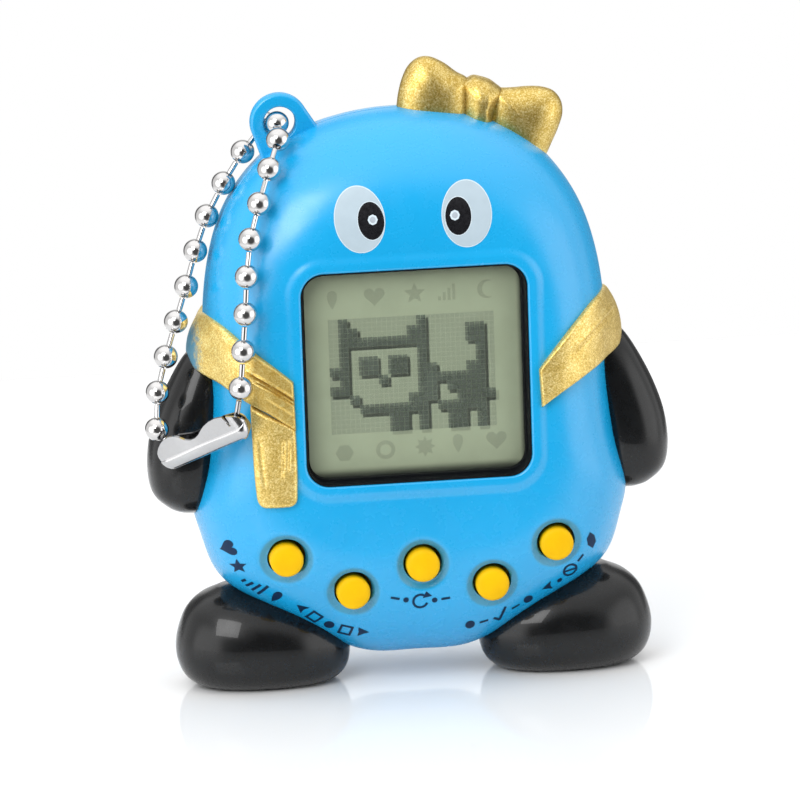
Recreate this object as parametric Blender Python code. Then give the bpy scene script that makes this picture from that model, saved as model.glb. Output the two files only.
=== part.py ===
"""A penguin-shaped virtual pet keychain, as separate pieces in metres, +Z up.

It stands on its two feet on Z = 0 and faces -Y. The two case shells meet on the
parting plane, which lies PARTING_Y behind the origin, so that the whole object,
chain included, is centred on the origin.
"""

import math

import bmesh
import bpy
import numpy as np
from mathutils import Matrix, Vector

for old in list(bpy.data.objects):
    bpy.data.objects.remove(old, do_unlink=True)

MM = 0.001

# ---- driving dimensions, millimetres, measured from the parting plane ----
PARTING_Y = 1.9
CENTRE_Z = 32.0  # centre that the case outline is drawn about
# half widths of the case outline, from the crown down to the belly
OUTLINE = (
    (0.0, 60.9), (5.0, 60.45), (9.5, 59.2), (13.9, 56.7), (16.9, 53.4),
    (18.8, 50.1), (20.0, 46.6), (20.8, 42.5), (21.1, 38.0), (21.0, 33.0),
    (21.5, 28.0), (22.4, 23.0), (23.0, 19.6), (22.3, 16.6), (20.5, 11.9),
    (18.6, 10.3), (12.9, 6.9), (8.5, 4.2), (5.5, 2.95), (0.0, 2.75),
)
FRONT_DEPTH, BACK_DEPTH = 10.3, 9.5
FRONT_FLAT = (13.5, 15.5, 16.0, 4.0)  # half width, above, below, squareness
BACK_FLAT = (17.5, 20.0, 22.0, 5.0)
FRONT_WALL, BACK_WALL = 1.8, 1.6
RIM_GAP = 0.15  # each shell's half of the parting gap
GAP = 0.3  # clearance between pieces that touch
AROUND = 48  # points round the outline

WINDOW_CENTRE = (0.0, 34.43)
WINDOW_HALF, WINDOW_CORNER = (11.79, 11.28), 2.4
BEZEL_WIDTH, BEZEL_PROUD = 1.25, 0.4

BUTTONS = {  # name: (x, z)
    "button_outer_left": (-14.2, 15.45),
    "button_inner_left": (-7.32, 11.5),
    "button_centre": (0.0, 14.15),
    "button_inner_right": (7.32, 11.5),
    "button_outer_right": (14.2, 15.45),
}
BUTTON_R, BUTTON_PROUD, BUTTON_TRAVEL = 1.75, 0.75, 0.8
BUTTON_DISH_R, BUTTON_DISH_DEPTH = 2.8, 0.4

CASE_SCREWS = {
    "case_screw_upper_left": (-11.0, 52.0),
    "case_screw_upper_right": (11.0, 52.0),
    "case_screw_lower_left": (-17.0, 21.5),
    "case_screw_lower_right": (17.0, 21.5),
}
POST_TOP = {52.0: -7.2, 21.5: -7.6}  # where each front post runs into the wall

EAR = (-12.37, 60.0)
EAR_R, EAR_HOLE_R, EAR_HALF = 3.05, 1.67, 0.8
EAR_FEET = ((-7.97, 58.7), (-14.09, 55.45))  # where the ear's sides run into the case

BEAD_R, LINK_R, BEAD_PITCH = 1.18, 0.27, 3.85
# knots of the two strands of the bead chain, from the ear down
FRONT_STRAND = (
    (-12.65, -0.6, 60.0), (-12.95, -4.3, 58.95), (-14.3, -7.0, 56.2),
    (-16.8, -9.9, 49.4), (-17.7, -11.5, 42.0), (-18.55, -12.3, 34.4),
)
SIDE_STRAND = (
    (-13.5, 3.2, 59.3), (-16.1, 2.2, 56.6), (-20.3, 0.6, 50.2),
    (-23.0, -1.6, 43.0), (-25.5, -3.9, 36.5), (-26.6, -5.3, 33.1),
    (-26.9, -6.4, 29.7),
)
FRONT_BEADS, SIDE_BEADS = 9, 10

CELL_R, CELL_H = 5.8, 5.4
CELLS = {"cell_left": -6.3, "cell_right": 6.3}
CELL_Z = 19.8


# ---- shared shape functions ----
def outline_radius(angle):
    angles = [math.atan2(z - CENTRE_Z, x) for x, z in OUTLINE][::-1]
    radii = [math.hypot(x, z - CENTRE_Z) for x, z in OUTLINE][::-1]
    folded = math.atan2(math.sin(angle), abs(math.cos(angle)))
    return float(np.interp(folded, angles, radii))


def flat_radius(angle, flat):
    half, above, below, square = flat
    c, s = abs(math.cos(angle)), math.sin(angle)
    reach = above if s > 0 else below
    return ((c / half) ** square + (abs(s) / reach) ** square) ** (-1 / square)


def dome_rings(depth, flat, side, out=0.0, lift=0.0, rim=0.0, steps=6):
    """Rings from the edge of the flat face out to the rim.

    side is -1 for the front and +1 for the back, out grows the outline and
    lift the depth.
    """
    rings = []
    for j in range(steps + 1):
        turn = j / steps * math.pi / 2
        ring = []
        for i in range(AROUND):
            a = 2 * math.pi * i / AROUND
            edge, inner = outline_radius(a) + out, flat_radius(a, flat)
            inner += min(0.0, out) * 0.4
            r = inner + (edge - inner) * math.sin(turn)
            y = rim + (depth + lift - rim) * math.cos(turn)
            ring.append((r * math.cos(a), side * y, CENTRE_Z + r * math.sin(a)))
        rings.append(ring)
    return rings


def front_height(x, z):
    """How far the front face stands out of the parting plane at (x, z)."""
    a, r = math.atan2(z - CENTRE_Z, x), math.hypot(x, z - CENTRE_Z)
    inner, edge = flat_radius(a, FRONT_FLAT), outline_radius(a)
    s = min(1.0, max(0.0, (r - inner) / (edge - inner)))
    return FRONT_DEPTH * math.sqrt(1 - s * s)


def ear_outline(grow, arc=20):
    """The ear's disc drawn out by straight sides to its two feet."""
    r = EAR_R + grow
    ends = []
    for (x, z), turn in zip(EAR_FEET, (1, -1)):
        far, towards = math.hypot(x - EAR[0], z - EAR[1]), math.atan2(z - EAR[1], x - EAR[0])
        ends.append(towards + turn * math.acos(r / far))
    start, end = ends[0], ends[1] + 2 * math.pi
    turns = [start + (end - start) * k / arc for k in range(arc + 1)]
    ring = [(EAR[0] + r * math.cos(a), EAR[1] + r * math.sin(a)) for a in turns]
    return ring + [EAR_FEET[1], EAR_FEET[0]]


# ---- object helpers ----
toy = bpy.data.objects.new("toy", None)
bpy.context.scene.collection.objects.link(toy)
toy.location = (0, PARTING_Y * MM, 0)


def finish(color, roughness, metallic=0.0, coat=0.0):
    return color, roughness, metallic, coat


BLUE = finish((0.045, 0.42, 0.86), 0.32, 0.0, 0.3)
GOLD = finish((0.56, 0.38, 0.10), 0.42, 0.9)
BLACK_GLOSS = finish((0.012, 0.012, 0.013), 0.12, 0.0, 0.5)
BLACK_MATT = finish((0.02, 0.02, 0.02), 0.6)
YELLOW = finish((0.93, 0.62, 0.01), 0.45)
CHROME = finish((0.80, 0.80, 0.82), 0.08, 1.0)
STEEL = finish((0.55, 0.55, 0.56), 0.3, 1.0)
BRASS = finish((0.70, 0.52, 0.20), 0.3, 1.0)
CLEAR = finish((0.92, 0.94, 0.94), 0.05)
LCD_GREY = finish((0.42, 0.45, 0.36), 0.4)
SILVER_FILM = finish((0.62, 0.64, 0.60), 0.35, 0.6)
RUBBER = finish((0.55, 0.55, 0.55), 0.7)
PINK_ZEBRA = finish((0.35, 0.22, 0.24), 0.7)
BOARD = finish((0.04, 0.26, 0.10), 0.45)
EPOXY = finish((0.015, 0.015, 0.018), 0.25)


def give_material(obj, look):
    color, roughness, metallic, coat = look
    material = bpy.data.materials.new(obj.name + "_finish")
    material.use_nodes = True
    shader = material.node_tree.nodes["Principled BSDF"]
    shader.inputs["Base Color"].default_value = (*color, 1.0)
    shader.inputs["Roughness"].default_value = roughness
    shader.inputs["Metallic"].default_value = metallic
    shader.inputs["Coat Weight"].default_value = coat
    obj.data.materials.append(material)


def mesh_object(name, bm, look=None, origin=(0, 0, 0)):
    """Makes a node from a bmesh in millimetres; without a look, a cutter."""
    bmesh.ops.remove_doubles(bm, verts=bm.verts, dist=1e-5)
    bmesh.ops.recalc_face_normals(bm, faces=bm.faces)
    bmesh.ops.translate(bm, verts=bm.verts, vec=-Vector(origin))
    bmesh.ops.scale(bm, verts=bm.verts, vec=(MM, MM, MM))
    mesh = bpy.data.meshes.new(name)
    bm.to_mesh(mesh)
    bm.free()
    obj = bpy.data.objects.new(name, mesh)
    bpy.context.scene.collection.objects.link(obj)
    obj.parent = toy
    obj.location = Vector(origin) * MM
    if look is None:
        obj.hide_render = True
        obj.display_type = "WIRE"
    else:
        mesh.shade_smooth()
        mesh.set_sharp_from_angle(angle=math.radians(35))
        give_material(obj, look)
    return obj


def add_rings(bm, rings, cap_first=True, cap_last=True):
    """Skins a stack of rings with the same number of points each."""
    loops = [[bm.verts.new(p) for p in ring] for ring in rings]
    n = len(loops[0])
    for low, high in zip(loops, loops[1:]):
        for i in range(n):
            bm.faces.new((low[i], low[(i + 1) % n], high[(i + 1) % n], high[i]))
    if cap_first:
        bm.faces.new(loops[0][::-1])
    if cap_last:
        bm.faces.new(loops[-1])
    return loops


def add_box(bm, low, high):
    made = bmesh.ops.create_cube(bm, size=1.0)
    low, high = Vector(low), Vector(high)
    bmesh.ops.scale(bm, verts=made["verts"], vec=high - low)
    bmesh.ops.translate(bm, verts=made["verts"], vec=(low + high) / 2)


def add_turned(bm, profile, centre, axis=(0, 1, 0), sides=20):
    """Turns a profile of (distance along axis, radius) about the axis."""
    turn = Vector((0, 0, 1)).rotation_difference(Vector(axis).normalized())
    frame = Matrix.Translation(Vector(centre)) @ turn.to_matrix().to_4x4()
    rings, poles = [], {}
    for k, (along, radius) in enumerate(profile):
        if radius <= 1e-6:
            poles[k] = bm.verts.new(frame @ Vector((0, 0, along)))
            rings.append(None)
            continue
        rings.append([
            bm.verts.new(frame @ Vector((
                radius * math.cos(2 * math.pi * i / sides),
                radius * math.sin(2 * math.pi * i / sides), along)))
            for i in range(sides)
        ])
    for k in range(len(profile) - 1):
        low, high = rings[k], rings[k + 1]
        for i in range(sides):
            j = (i + 1) % sides
            if low is None:
                bm.faces.new((poles[k], high[j], high[i]))
            elif high is None:
                bm.faces.new((low[i], low[j], poles[k + 1]))
            else:
                bm.faces.new((low[i], low[j], high[j], high[i]))
    if rings[0] is not None:
        bm.faces.new(rings[0][::-1])
    if rings[-1] is not None:
        bm.faces.new(rings[-1])


def add_prism(bm, points, y_low, y_high):
    """Extrudes a polygon in X and Z along Y."""
    add_rings(bm, [[(x, y, z) for x, z in points] for y in (y_low, y_high)])


def rounded_rect(centre, half, corner, per_corner=5):
    points = []
    for k, (sx, sz) in enumerate(((1, 1), (-1, 1), (-1, -1), (1, -1))):
        for j in range(per_corner + 1):
            a = math.pi / 2 * (k + j / per_corner)
            points.append((
                centre[0] + sx * (half[0] - corner) + corner * math.cos(a),
                centre[1] + sz * (half[1] - corner) + corner * math.sin(a)))
    return points


def combine(obj, cutter, operation):
    modifier = obj.modifiers.new(cutter.name, "BOOLEAN")
    modifier.operation = operation
    modifier.solver = "EXACT"
    modifier.object = cutter
    return modifier


def case_envelope(name, out, lift):
    """The closed outer shape of the whole case, grown by out and lift."""
    bm = bmesh.new()
    front = dome_rings(FRONT_DEPTH, FRONT_FLAT, -1, out, lift)
    back = dome_rings(BACK_DEPTH, BACK_FLAT, 1, out, lift)
    add_rings(bm, front + back[::-1][1:])
    return mesh_object(name, bm)


# ---- cutters that fit neighbours against the case ----
case_clearance = case_envelope("cut_case_clearance", GAP, GAP)
trim_inner = case_envelope("cut_trim_inner", GAP, GAP)
bow_clearance = case_envelope("cut_bow_clearance", GAP, GAP)


# ---- the two shells ----
def shell(name, depth, flat, wall, side):
    bm = bmesh.new()
    outer = dome_rings(depth, flat, side, rim=RIM_GAP, steps=6)
    inner = dome_rings(depth, flat, side, out=-wall, lift=-wall, rim=RIM_GAP, steps=4)
    add_rings(bm, outer + inner[::-1])
    return mesh_object(name, bm, BLUE)


front_shell = shell("front_shell", FRONT_DEPTH, FRONT_FLAT, FRONT_WALL, -1)
back_shell = shell("back_shell", BACK_DEPTH, BACK_FLAT, BACK_WALL, 1)

# front shell: raised bezel, screw posts and its half of the ear
bm = bmesh.new()
outer = rounded_rect(WINDOW_CENTRE, [h + BEZEL_WIDTH for h in WINDOW_HALF], WINDOW_CORNER + BEZEL_WIDTH)
step = rounded_rect(WINDOW_CENTRE, [h + BEZEL_WIDTH - 0.4 for h in WINDOW_HALF], WINDOW_CORNER + BEZEL_WIDTH - 0.4)
add_rings(bm, [
    [(x, -FRONT_DEPTH + 0.9, z) for x, z in outer],
    [(x, -FRONT_DEPTH, z) for x, z in outer],
    [(x, -FRONT_DEPTH - BEZEL_PROUD, z) for x, z in step],
])
add_front_bezel = mesh_object("add_front_bezel", bm)
bm = bmesh.new()
for x, z in CASE_SCREWS.values():
    add_turned(bm, [(POST_TOP[z], 2.1), (-0.45, 2.1)], (x, 0, z), sides=14)
add_rings(bm, [
    [(x, -RIM_GAP, z) for x, z in ear_outline(0.0)],
    [(x, -EAR_HALF + 0.25, z) for x, z in ear_outline(0.0)],
    [(x, -EAR_HALF, z) for x, z in ear_outline(-0.2)],
])
add_front_posts = mesh_object("add_front_posts", bm)

bm = bmesh.new()
add_prism(bm, rounded_rect(WINDOW_CENTRE, WINDOW_HALF, WINDOW_CORNER), -13, -6)
cut_window = mesh_object("cut_window", bm)
bm = bmesh.new()
wx, wz = WINDOW_CENTRE
add_box(bm, (-13.5, -8.5, wz - 13.0), (13.5, -0.5, wz + 13.0))
cut_display_seat = mesh_object("cut_display_seat", bm)
bm = bmesh.new()
for x, z in BUTTONS.values():
    floor = -front_height(x, z) + BUTTON_DISH_DEPTH
    add_turned(bm, [(-13, BUTTON_DISH_R), (floor, BUTTON_DISH_R), (floor, BUTTON_R + GAP), (-6.6, BUTTON_R + GAP), (-6.6, 2.85), (-2.0, 2.85)], (x, 0, z), sides=18)
for x, z in CASE_SCREWS.values():
    add_turned(bm, [(-6.0, 1.0), (0.5, 1.0)], (x, 0, z), sides=10)
add_turned(bm, [(-4, EAR_HOLE_R), (1, EAR_HOLE_R)], (EAR[0], 0, EAR[1]), sides=20)
cut_front_holes = mesh_object("cut_front_holes", bm)

# notches on the parting line for the tenons of flippers and feet
FLIPPER_TENON = ((18.2, 23.0), 1.2, (29.3, 32.7))
FOOT_TENON = ((13.9, 17.3), 1.3, (3.0, 11.6))
bm = bmesh.new()
for s in (-1, 1):
    for (x0, x1), half, (z0, z1) in (FLIPPER_TENON, FOOT_TENON):
        a, b = sorted((s * (x0 - GAP), s * (x1 + GAP)))
        add_box(bm, (a, -half - GAP, z0 - GAP), (b, half + GAP, z1 + GAP))
cut_tenons = mesh_object("cut_tenons", bm)

combine(front_shell, add_front_bezel, "UNION")
combine(front_shell, cut_display_seat, "DIFFERENCE")
combine(front_shell, cut_window, "DIFFERENCE")
combine(front_shell, add_front_posts, "UNION")
combine(front_shell, cut_front_holes, "DIFFERENCE")
combine(front_shell, cut_tenons, "DIFFERENCE")

# back shell: battery pocket, screw tubes, sound holes and its half of the ear
DOOR_HALF, DOOR_Z, DOOR_LUG, DOOR_Y = 13.7, (12.7, 26.9), (3.2, 31.3), (8.4, 9.5)
DOOR_SCREW = (0.0, 28.9)


def door_outline(grow):
    a, (lo, hi), (lug, top) = DOOR_HALF + grow, DOOR_Z, DOOR_LUG
    lo, hi, lug, top, c = lo - grow, hi + grow, lug + grow, top + grow, 1.2
    right = [(a - c, lo), (a, lo + c), (a, hi - c), (a - c, hi), (lug, hi), (lug, top - c), (lug - c, top)]
    return right + [(-x, z) for x, z in right[::-1]]


bm = bmesh.new()
add_box(bm, (-14.2, 0.2, 12.2), (14.2, 8.3, 27.4))
add_pocket = mesh_object("add_pocket", bm)
bm = bmesh.new()
for x, z in CASE_SCREWS.values():
    add_turned(bm, [(0.45, 2.6), (8.3 if z > 40 else 8.6, 2.6)], (x, 0, z), sides=14)
add_turned(bm, [(3.0, 1.9), (8.3, 1.9)], (DOOR_SCREW[0], 0, DOOR_SCREW[1]), sides=14)
add_rings(bm, [
    [(x, RIM_GAP, z) for x, z in ear_outline(0.0)],
    [(x, EAR_HALF - 0.25, z) for x, z in ear_outline(0.0)],
    [(x, EAR_HALF, z) for x, z in ear_outline(-0.2)],
])
add_back_tubes = mesh_object("add_back_tubes", bm)
bm = bmesh.new()
add_box(bm, (-13.1, 1.0, 13.3), (13.1, 11.0, 26.3))
cut_pocket = mesh_object("cut_pocket", bm)
bm = bmesh.new()
add_prism(bm, door_outline(GAP), 8.1, 12.0)
cut_door_seat = mesh_object("cut_door_seat", bm)
bm = bmesh.new()
for x, z in CASE_SCREWS.values():
    add_turned(bm, [(-1.0, 1.0), (4.0, 1.0), (4.0, 1.85), (12.0, 1.85)], (x, 0, z), sides=12)
add_turned(bm, [(4.0, 0.95), (8.6, 0.95)], (DOOR_SCREW[0], 0, DOOR_SCREW[1]), sides=10)
add_turned(bm, [(-1, EAR_HOLE_R), (4, EAR_HOLE_R)], (EAR[0], 0, EAR[1]), sides=20)
SOUND = (0.0, 47.0)
for k in range(7):
    a, r = math.pi / 3 * k, 2.6 if k < 6 else 0.0
    add_turned(bm, [(6.0, 0.55), (12.0, 0.55)], (SOUND[0] + r * math.cos(a), 0, SOUND[1] + r * math.sin(a)), sides=8)
cut_back_holes = mesh_object("cut_back_holes", bm)

combine(back_shell, add_pocket, "UNION")
combine(back_shell, add_back_tubes, "UNION")
combine(back_shell, cut_door_seat, "DIFFERENCE")
combine(back_shell, cut_pocket, "DIFFERENCE")
combine(back_shell, cut_back_holes, "DIFFERENCE")
combine(back_shell, cut_tenons, "DIFFERENCE")


# ---- flippers and feet ----
# z, outer x, inner x, half depth
FLIPPER = (
    (18.95, 24.3, 22.2, 1.0), (19.6, 25.6, 21.0, 2.5), (21.2, 27.15, 20.0, 3.9),
    (23.5, 27.6, 19.4, 4.5), (26.8, 27.3, 19.2, 4.6), (30.0, 26.3, 18.8, 4.2),
    (33.0, 24.9, 18.4, 3.5), (35.2, 23.6, 18.2, 2.6), (36.6, 22.5, 18.6, 1.3),
)
# z, middle x, half width, half depth
FOOT = (
    (0.0, 15.8, 5.9, 3.6), (0.35, 15.9, 7.4, 4.8), (1.4, 16.0, 8.6, 5.9),
    (3.0, 16.1, 9.15, 6.5), (4.6, 16.2, 9.15, 6.6), (6.3, 16.4, 8.6, 6.3),
    (8.2, 17.0, 7.2, 5.3), (9.7, 17.7, 5.0, 3.8), (10.7, 18.2, 2.4, 1.9),
)


def squircle(cx, cz, hx, hy, n=24, power=2.3):
    ring = []
    for i in range(n):
        a = 2 * math.pi * i / n
        c, s = math.cos(a), math.sin(a)
        ring.append((
            cx + hx * math.copysign(abs(c) ** (2 / power), c),
            hy * math.copysign(abs(s) ** (2 / power), s), cz))
    return ring


# the scarf lies over the shoulders, so the flippers stop just under it
bm = bmesh.new()
add_box(bm, (-30, -8, 35.1), (30, 8, 42))
cut_flipper_top = mesh_object("cut_flipper_top", bm)
bm = bmesh.new()
add_box(bm, (-22.2, -8, 33.8), (22.2, 8, 42))
cut_flipper_shoulder = mesh_object("cut_flipper_shoulder", bm)

for label, s in (("left", -1), ("right", 1)):
    bm = bmesh.new()
    add_rings(bm, [squircle(s * (a + b) / 2, z, (a - b) / 2, hy, n=22) for z, a, b, hy in FLIPPER])
    flipper = mesh_object(label + "_flipper", bm, BLACK_GLOSS)
    combine(flipper, case_clearance, "DIFFERENCE")
    combine(flipper, cut_flipper_top, "DIFFERENCE")
    combine(flipper, cut_flipper_shoulder, "DIFFERENCE")
    bm = bmesh.new()
    (x0, x1), half, (z0, z1) = FLIPPER_TENON
    a, b = sorted((s * x0, s * x1))
    add_box(bm, (a, -half, z0), (b, half, z1))
    combine(flipper, mesh_object("add_%s_flipper_tenon" % label, bm), "UNION")

    bm = bmesh.new()
    add_rings(bm, [squircle(s * cx, z, hx, hy, n=26) for z, cx, hx, hy in FOOT])
    foot = mesh_object(label + "_foot", bm, BLACK_GLOSS)
    combine(foot, case_clearance, "DIFFERENCE")
    bm = bmesh.new()
    (x0, x1), half, (z0, z1) = FOOT_TENON
    a, b = sorted((s * x0, s * x1))
    add_box(bm, (a, -half, z0), (b, half, z1))
    combine(foot, mesh_object("add_%s_foot_tenon" % label, bm), "UNION")

# ---- bow ----
BOW_AT, BOW_TILT = (9.2, 61.2), math.radians(20)
# along the bow, half height, half depth
BOW = (
    (-8.9, 1.2, 0.8), (-8.5, 2.3, 1.6), (-7.2, 3.1, 2.3), (-5.2, 2.9, 2.5),
    (-3.2, 2.0, 2.1), (-2.1, 1.6, 1.8), (-1.9, 2.1, 2.6), (-1.2, 2.3, 2.9),
    (0.6, 2.3, 2.9), (1.3, 2.1, 2.6), (1.5, 1.6, 1.8), (3.0, 2.0, 2.1),
    (5.0, 2.8, 2.5), (7.0, 3.1, 2.3), (8.2, 2.3, 1.6), (8.6, 1.2, 0.8),
)
bm = bmesh.new()
rings = []
for u, hv, hy in BOW:
    ring = []
    for x, y, z in squircle(0, 0, hv, hy, n=16, power=2.5):
        v = x
        ring.append((
            BOW_AT[0] + u * math.cos(BOW_TILT) + v * math.sin(BOW_TILT),
            y - 0.6,
            BOW_AT[1] - u * math.sin(BOW_TILT) + v * math.cos(BOW_TILT)))
    rings.append(ring)
add_rings(bm, rings)
bow = mesh_object("bow", bm, GOLD)
combine(bow, bow_clearance, "DIFFERENCE")

# ---- scarf, as raised bands round the case ----
BANDS = {
    "scarf_right_band": (-1, (
        (13.35, 33.0), (15.6, 35.1), (17.8, 37.5), (20.0, 40.1), (21.0, 42.0), (25.5, 42.6),
        (25.5, 35.2), (21.4, 35.4), (19.8, 33.8), (17.6, 32.0), (15.5, 30.5), (13.35, 29.5))),
    "scarf_left_band": (-1, (
        (-25.5, 42.6), (-22.0, 42.2), (-20.4, 41.3), (-17.9, 39.0), (-14.9, 36.1), (-13.35, 34.4),
        (-13.35, 28.9), (-17.1, 32.2), (-19.2, 33.6), (-21.2, 35.3), (-25.5, 36.0))),
    "scarf_tail": (-1, (
        (-17.0, 31.75), (-13.35, 28.5), (-13.35, 20.7), (-14.3, 20.3), (-16.1, 20.3), (-17.0, 20.9))),
    "scarf_back_band": (1, (
        (-25.5, 42.4), (-15.0, 41.6), (0.0, 41.2), (15.0, 41.6), (25.5, 42.4),
        (25.5, 35.6), (15.0, 36.0), (0.0, 36.2), (-15.0, 36.0), (-25.5, 35.6))),
}
for name, (side, points) in BANDS.items():
    bm = bmesh.new()
    front = dome_rings(FRONT_DEPTH, FRONT_FLAT, -1, 2.0, 0.95)
    back = dome_rings(BACK_DEPTH, BACK_FLAT, 1, 2.0, 0.85)
    add_rings(bm, front + back[::-1][1:])
    band = mesh_object(name, bm, GOLD)
    bm = bmesh.new()
    y0, y1 = (-13, -RIM_GAP) if side < 0 else (RIM_GAP, 12)
    add_prism(bm, points, y0, y1)
    combine(band, mesh_object("keep_" + name, bm), "INTERSECT")
    combine(band, trim_inner, "DIFFERENCE")

# ---- display stack ----
bm = bmesh.new()
add_prism(bm, rounded_rect(WINDOW_CENTRE, (13.2, 12.7), 1.0, 2), -8.2, -2.4)
lcd_frame = mesh_object("lcd_frame", bm, BLACK_MATT)
bm = bmesh.new()
add_prism(bm, rounded_rect(WINDOW_CENTRE, (11.4, 10.9), 1.6, 4), -9, -2)
cut_frame_opening = mesh_object("cut_frame_opening", bm)
bm = bmesh.new()
add_box(bm, (-12.5, -7.4, wz - 12.0), (12.5, -2.0, wz + 12.0))
cut_frame_pocket = mesh_object("cut_frame_pocket", bm)
combine(lcd_frame, cut_frame_opening, "DIFFERENCE")
combine(lcd_frame, cut_frame_pocket, "DIFFERENCE")


def plate(name, look, low, high):
    bm = bmesh.new()
    add_box(bm, low, high)
    return mesh_object(name, bm, look)


bm = bmesh.new()
add_prism(bm, rounded_rect(WINDOW_CENTRE, (11.45, 10.94), 2.1, 5), -9.3, -8.5)
display_window = mesh_object("display_window", bm, CLEAR)
plate("lcd_front_polariser", LCD_GREY, (-12.1, -7.1, wz - 11.5), (12.1, -6.85, wz + 11.5))
plate("lcd_glass_cell", CLEAR, (-12.2, -6.65, wz - 11.7), (12.2, -5.0, wz + 11.7))
plate("lcd_rear_reflector", SILVER_FILM, (-12.1, -4.8, wz - 8.6), (12.1, -4.5, wz + 11.5))
plate("zebra_connector", PINK_ZEBRA, (-10.6, -4.7, wz - 11.2), (10.6, -2.4, wz - 9.4))

# ---- board, keypad and buttons ----
BOARD_Y, BOARD_T = -2.1, 1.0
board = [(14.4, 49.3), (14.4, 19.0), (16.8, 19.0), (16.8, 13.8), (9.0, 8.6)]
bm = bmesh.new()
add_prism(bm, board + [(-x, z) for x, z in board[::-1]], BOARD_Y, BOARD_Y + BOARD_T)
main_board = mesh_object("main_board", bm, BOARD)

mat = [(16.6, 18.8), (16.6, 13.9), (8.9, 8.9)]
bm = bmesh.new()
add_prism(bm, mat + [(-x, z) for x, z in mat[::-1]], -3.0, -2.4)
keypad_mat = mesh_object("keypad_mat", bm, RUBBER)
bm = bmesh.new()
for x, z in BUTTONS.values():
    add_turned(bm, [(-4.4, 1.6), (-2.9, 2.3), (-2.7, 2.3)], (x, 0, z), sides=12)
combine(keypad_mat, mesh_object("add_keypad_domes", bm), "UNION")

for name, (x, z) in BUTTONS.items():
    top = -front_height(x, z) - BUTTON_PROUD
    bm = bmesh.new()
    add_turned(bm, [
        (0.0, 0.0), (0.06, 0.9), (0.3, 1.45), (0.7, BUTTON_R),
        (-6.2 - top, BUTTON_R), (-6.2 - top, 2.5), (-5.6 - top, 2.5),
        (-5.6 - top, 1.4), (-5.3 - top, 1.4)], (x, top, z), sides=14)
    mesh_object(name, bm, YELLOW, origin=(x, top, z))

bm = bmesh.new()
add_turned(bm, [(-0.8, 4.6), (-0.3, 4.3), (0.2, 2.9), (0.45, 0.0)], (0, 0, 38.0), sides=16)
mesh_object("chip_blob", bm, EPOXY)
bm = bmesh.new()
add_turned(bm, [(-3.0, 1.0), (3.0, 1.0)], (8.0, 0.3, 44.5), axis=(1, 0, 0), sides=12)
mesh_object("clock_crystal", bm, STEEL)
bm = bmesh.new()
add_turned(bm, [(-0.8, 2.0), (4.2, 2.0)], (-8.0, 0, 44.0), sides=14)
mesh_object("capacitor", bm, EPOXY)
bm = bmesh.new()
add_turned(bm, [(7.2, 6.5), (7.5, 6.5)], (SOUND[0], 0, SOUND[1] - 1.0), sides=24)
mesh_object("buzzer_disc", bm, BRASS)

# ---- battery compartment ----
for name, x in CELLS.items():
    bm = bmesh.new()
    add_turned(bm, [
        (1.6, 4.4), (1.8, 4.6), (1.8, 5.4), (2.3, CELL_R), (1.6 + CELL_H - 0.3, CELL_R), (1.6 + CELL_H, 5.5)],
        (x, 0, CELL_Z), sides=18)
    mesh_object(name, bm, STEEL)
plate("contact_positive", STEEL, (-10.3, 1.15, 17.0), (-2.3, 1.4, 22.6))
plate("contact_negative", STEEL, (2.3, 1.15, 17.0), (10.3, 1.4, 22.6))
bm = bmesh.new()
add_box(bm, (-9.6, 7.75, 17.2), (9.6, 8.1, 22.4))
contact_bridge = mesh_object("contact_bridge", bm, STEEL)
bm = bmesh.new()
for x in CELLS.values():
    add_turned(bm, [(7.2, 0.8), (7.5, 1.6), (7.9, 1.9)], (x, 0, CELL_Z), sides=12)
combine(contact_bridge, mesh_object("add_bridge_dimples", bm), "UNION")

bm = bmesh.new()
add_prism(bm, door_outline(0.0), *DOOR_Y)
battery_door = mesh_object("battery_door", bm, BLUE, origin=(0, DOOR_Y[0], 20.0))
bm = bmesh.new()
add_turned(bm, [(7.0, 0.95), (8.75, 0.95), (8.75, 1.8), (12.0, 1.8)], (DOOR_SCREW[0], 0, DOOR_SCREW[1]), sides=14)
for k in range(4):
    add_box(bm, (-5.0, 9.2, 14.6 + 0.9 * k), (5.0, 10.0, 15.0 + 0.9 * k))
combine(battery_door, mesh_object("cut_door_details", bm), "DIFFERENCE")


def add_screw(name, x, z, head_y, head_r, head_h, shank_r, length):
    bm = bmesh.new()
    add_turned(bm, [
        (-length, 0.0), (-length + 0.9, shank_r), (0.0, shank_r), (0.0, head_r),
        (head_h * 0.5, head_r), (head_h, head_r * 0.72)], (x, head_y, z), sides=12)
    screw = mesh_object(name, bm, STEEL, origin=(x, head_y, z))
    bm = bmesh.new()
    top = head_y + head_h
    w = head_r * 0.16
    add_box(bm, (x - head_r * 0.6, top - 0.4, z - w), (x + head_r * 0.6, top + 0.5, z + w))
    slot = mesh_object("cut_slot_a_" + name, bm)
    bm = bmesh.new()
    add_box(bm, (x - w, top - 0.4, z - head_r * 0.6), (x + w, top + 0.5, z + head_r * 0.6))
    cross = mesh_object("cut_slot_b_" + name, bm)
    combine(screw, slot, "DIFFERENCE")
    combine(screw, cross, "DIFFERENCE")
    return screw


for name, (x, z) in CASE_SCREWS.items():
    add_screw(name, x, z, 4.3, 1.5, 0.9, 0.7, 9.6)
add_screw("door_screw", *DOOR_SCREW, 9.05, 1.45, 0.7, 0.62, 4.4)


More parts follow.
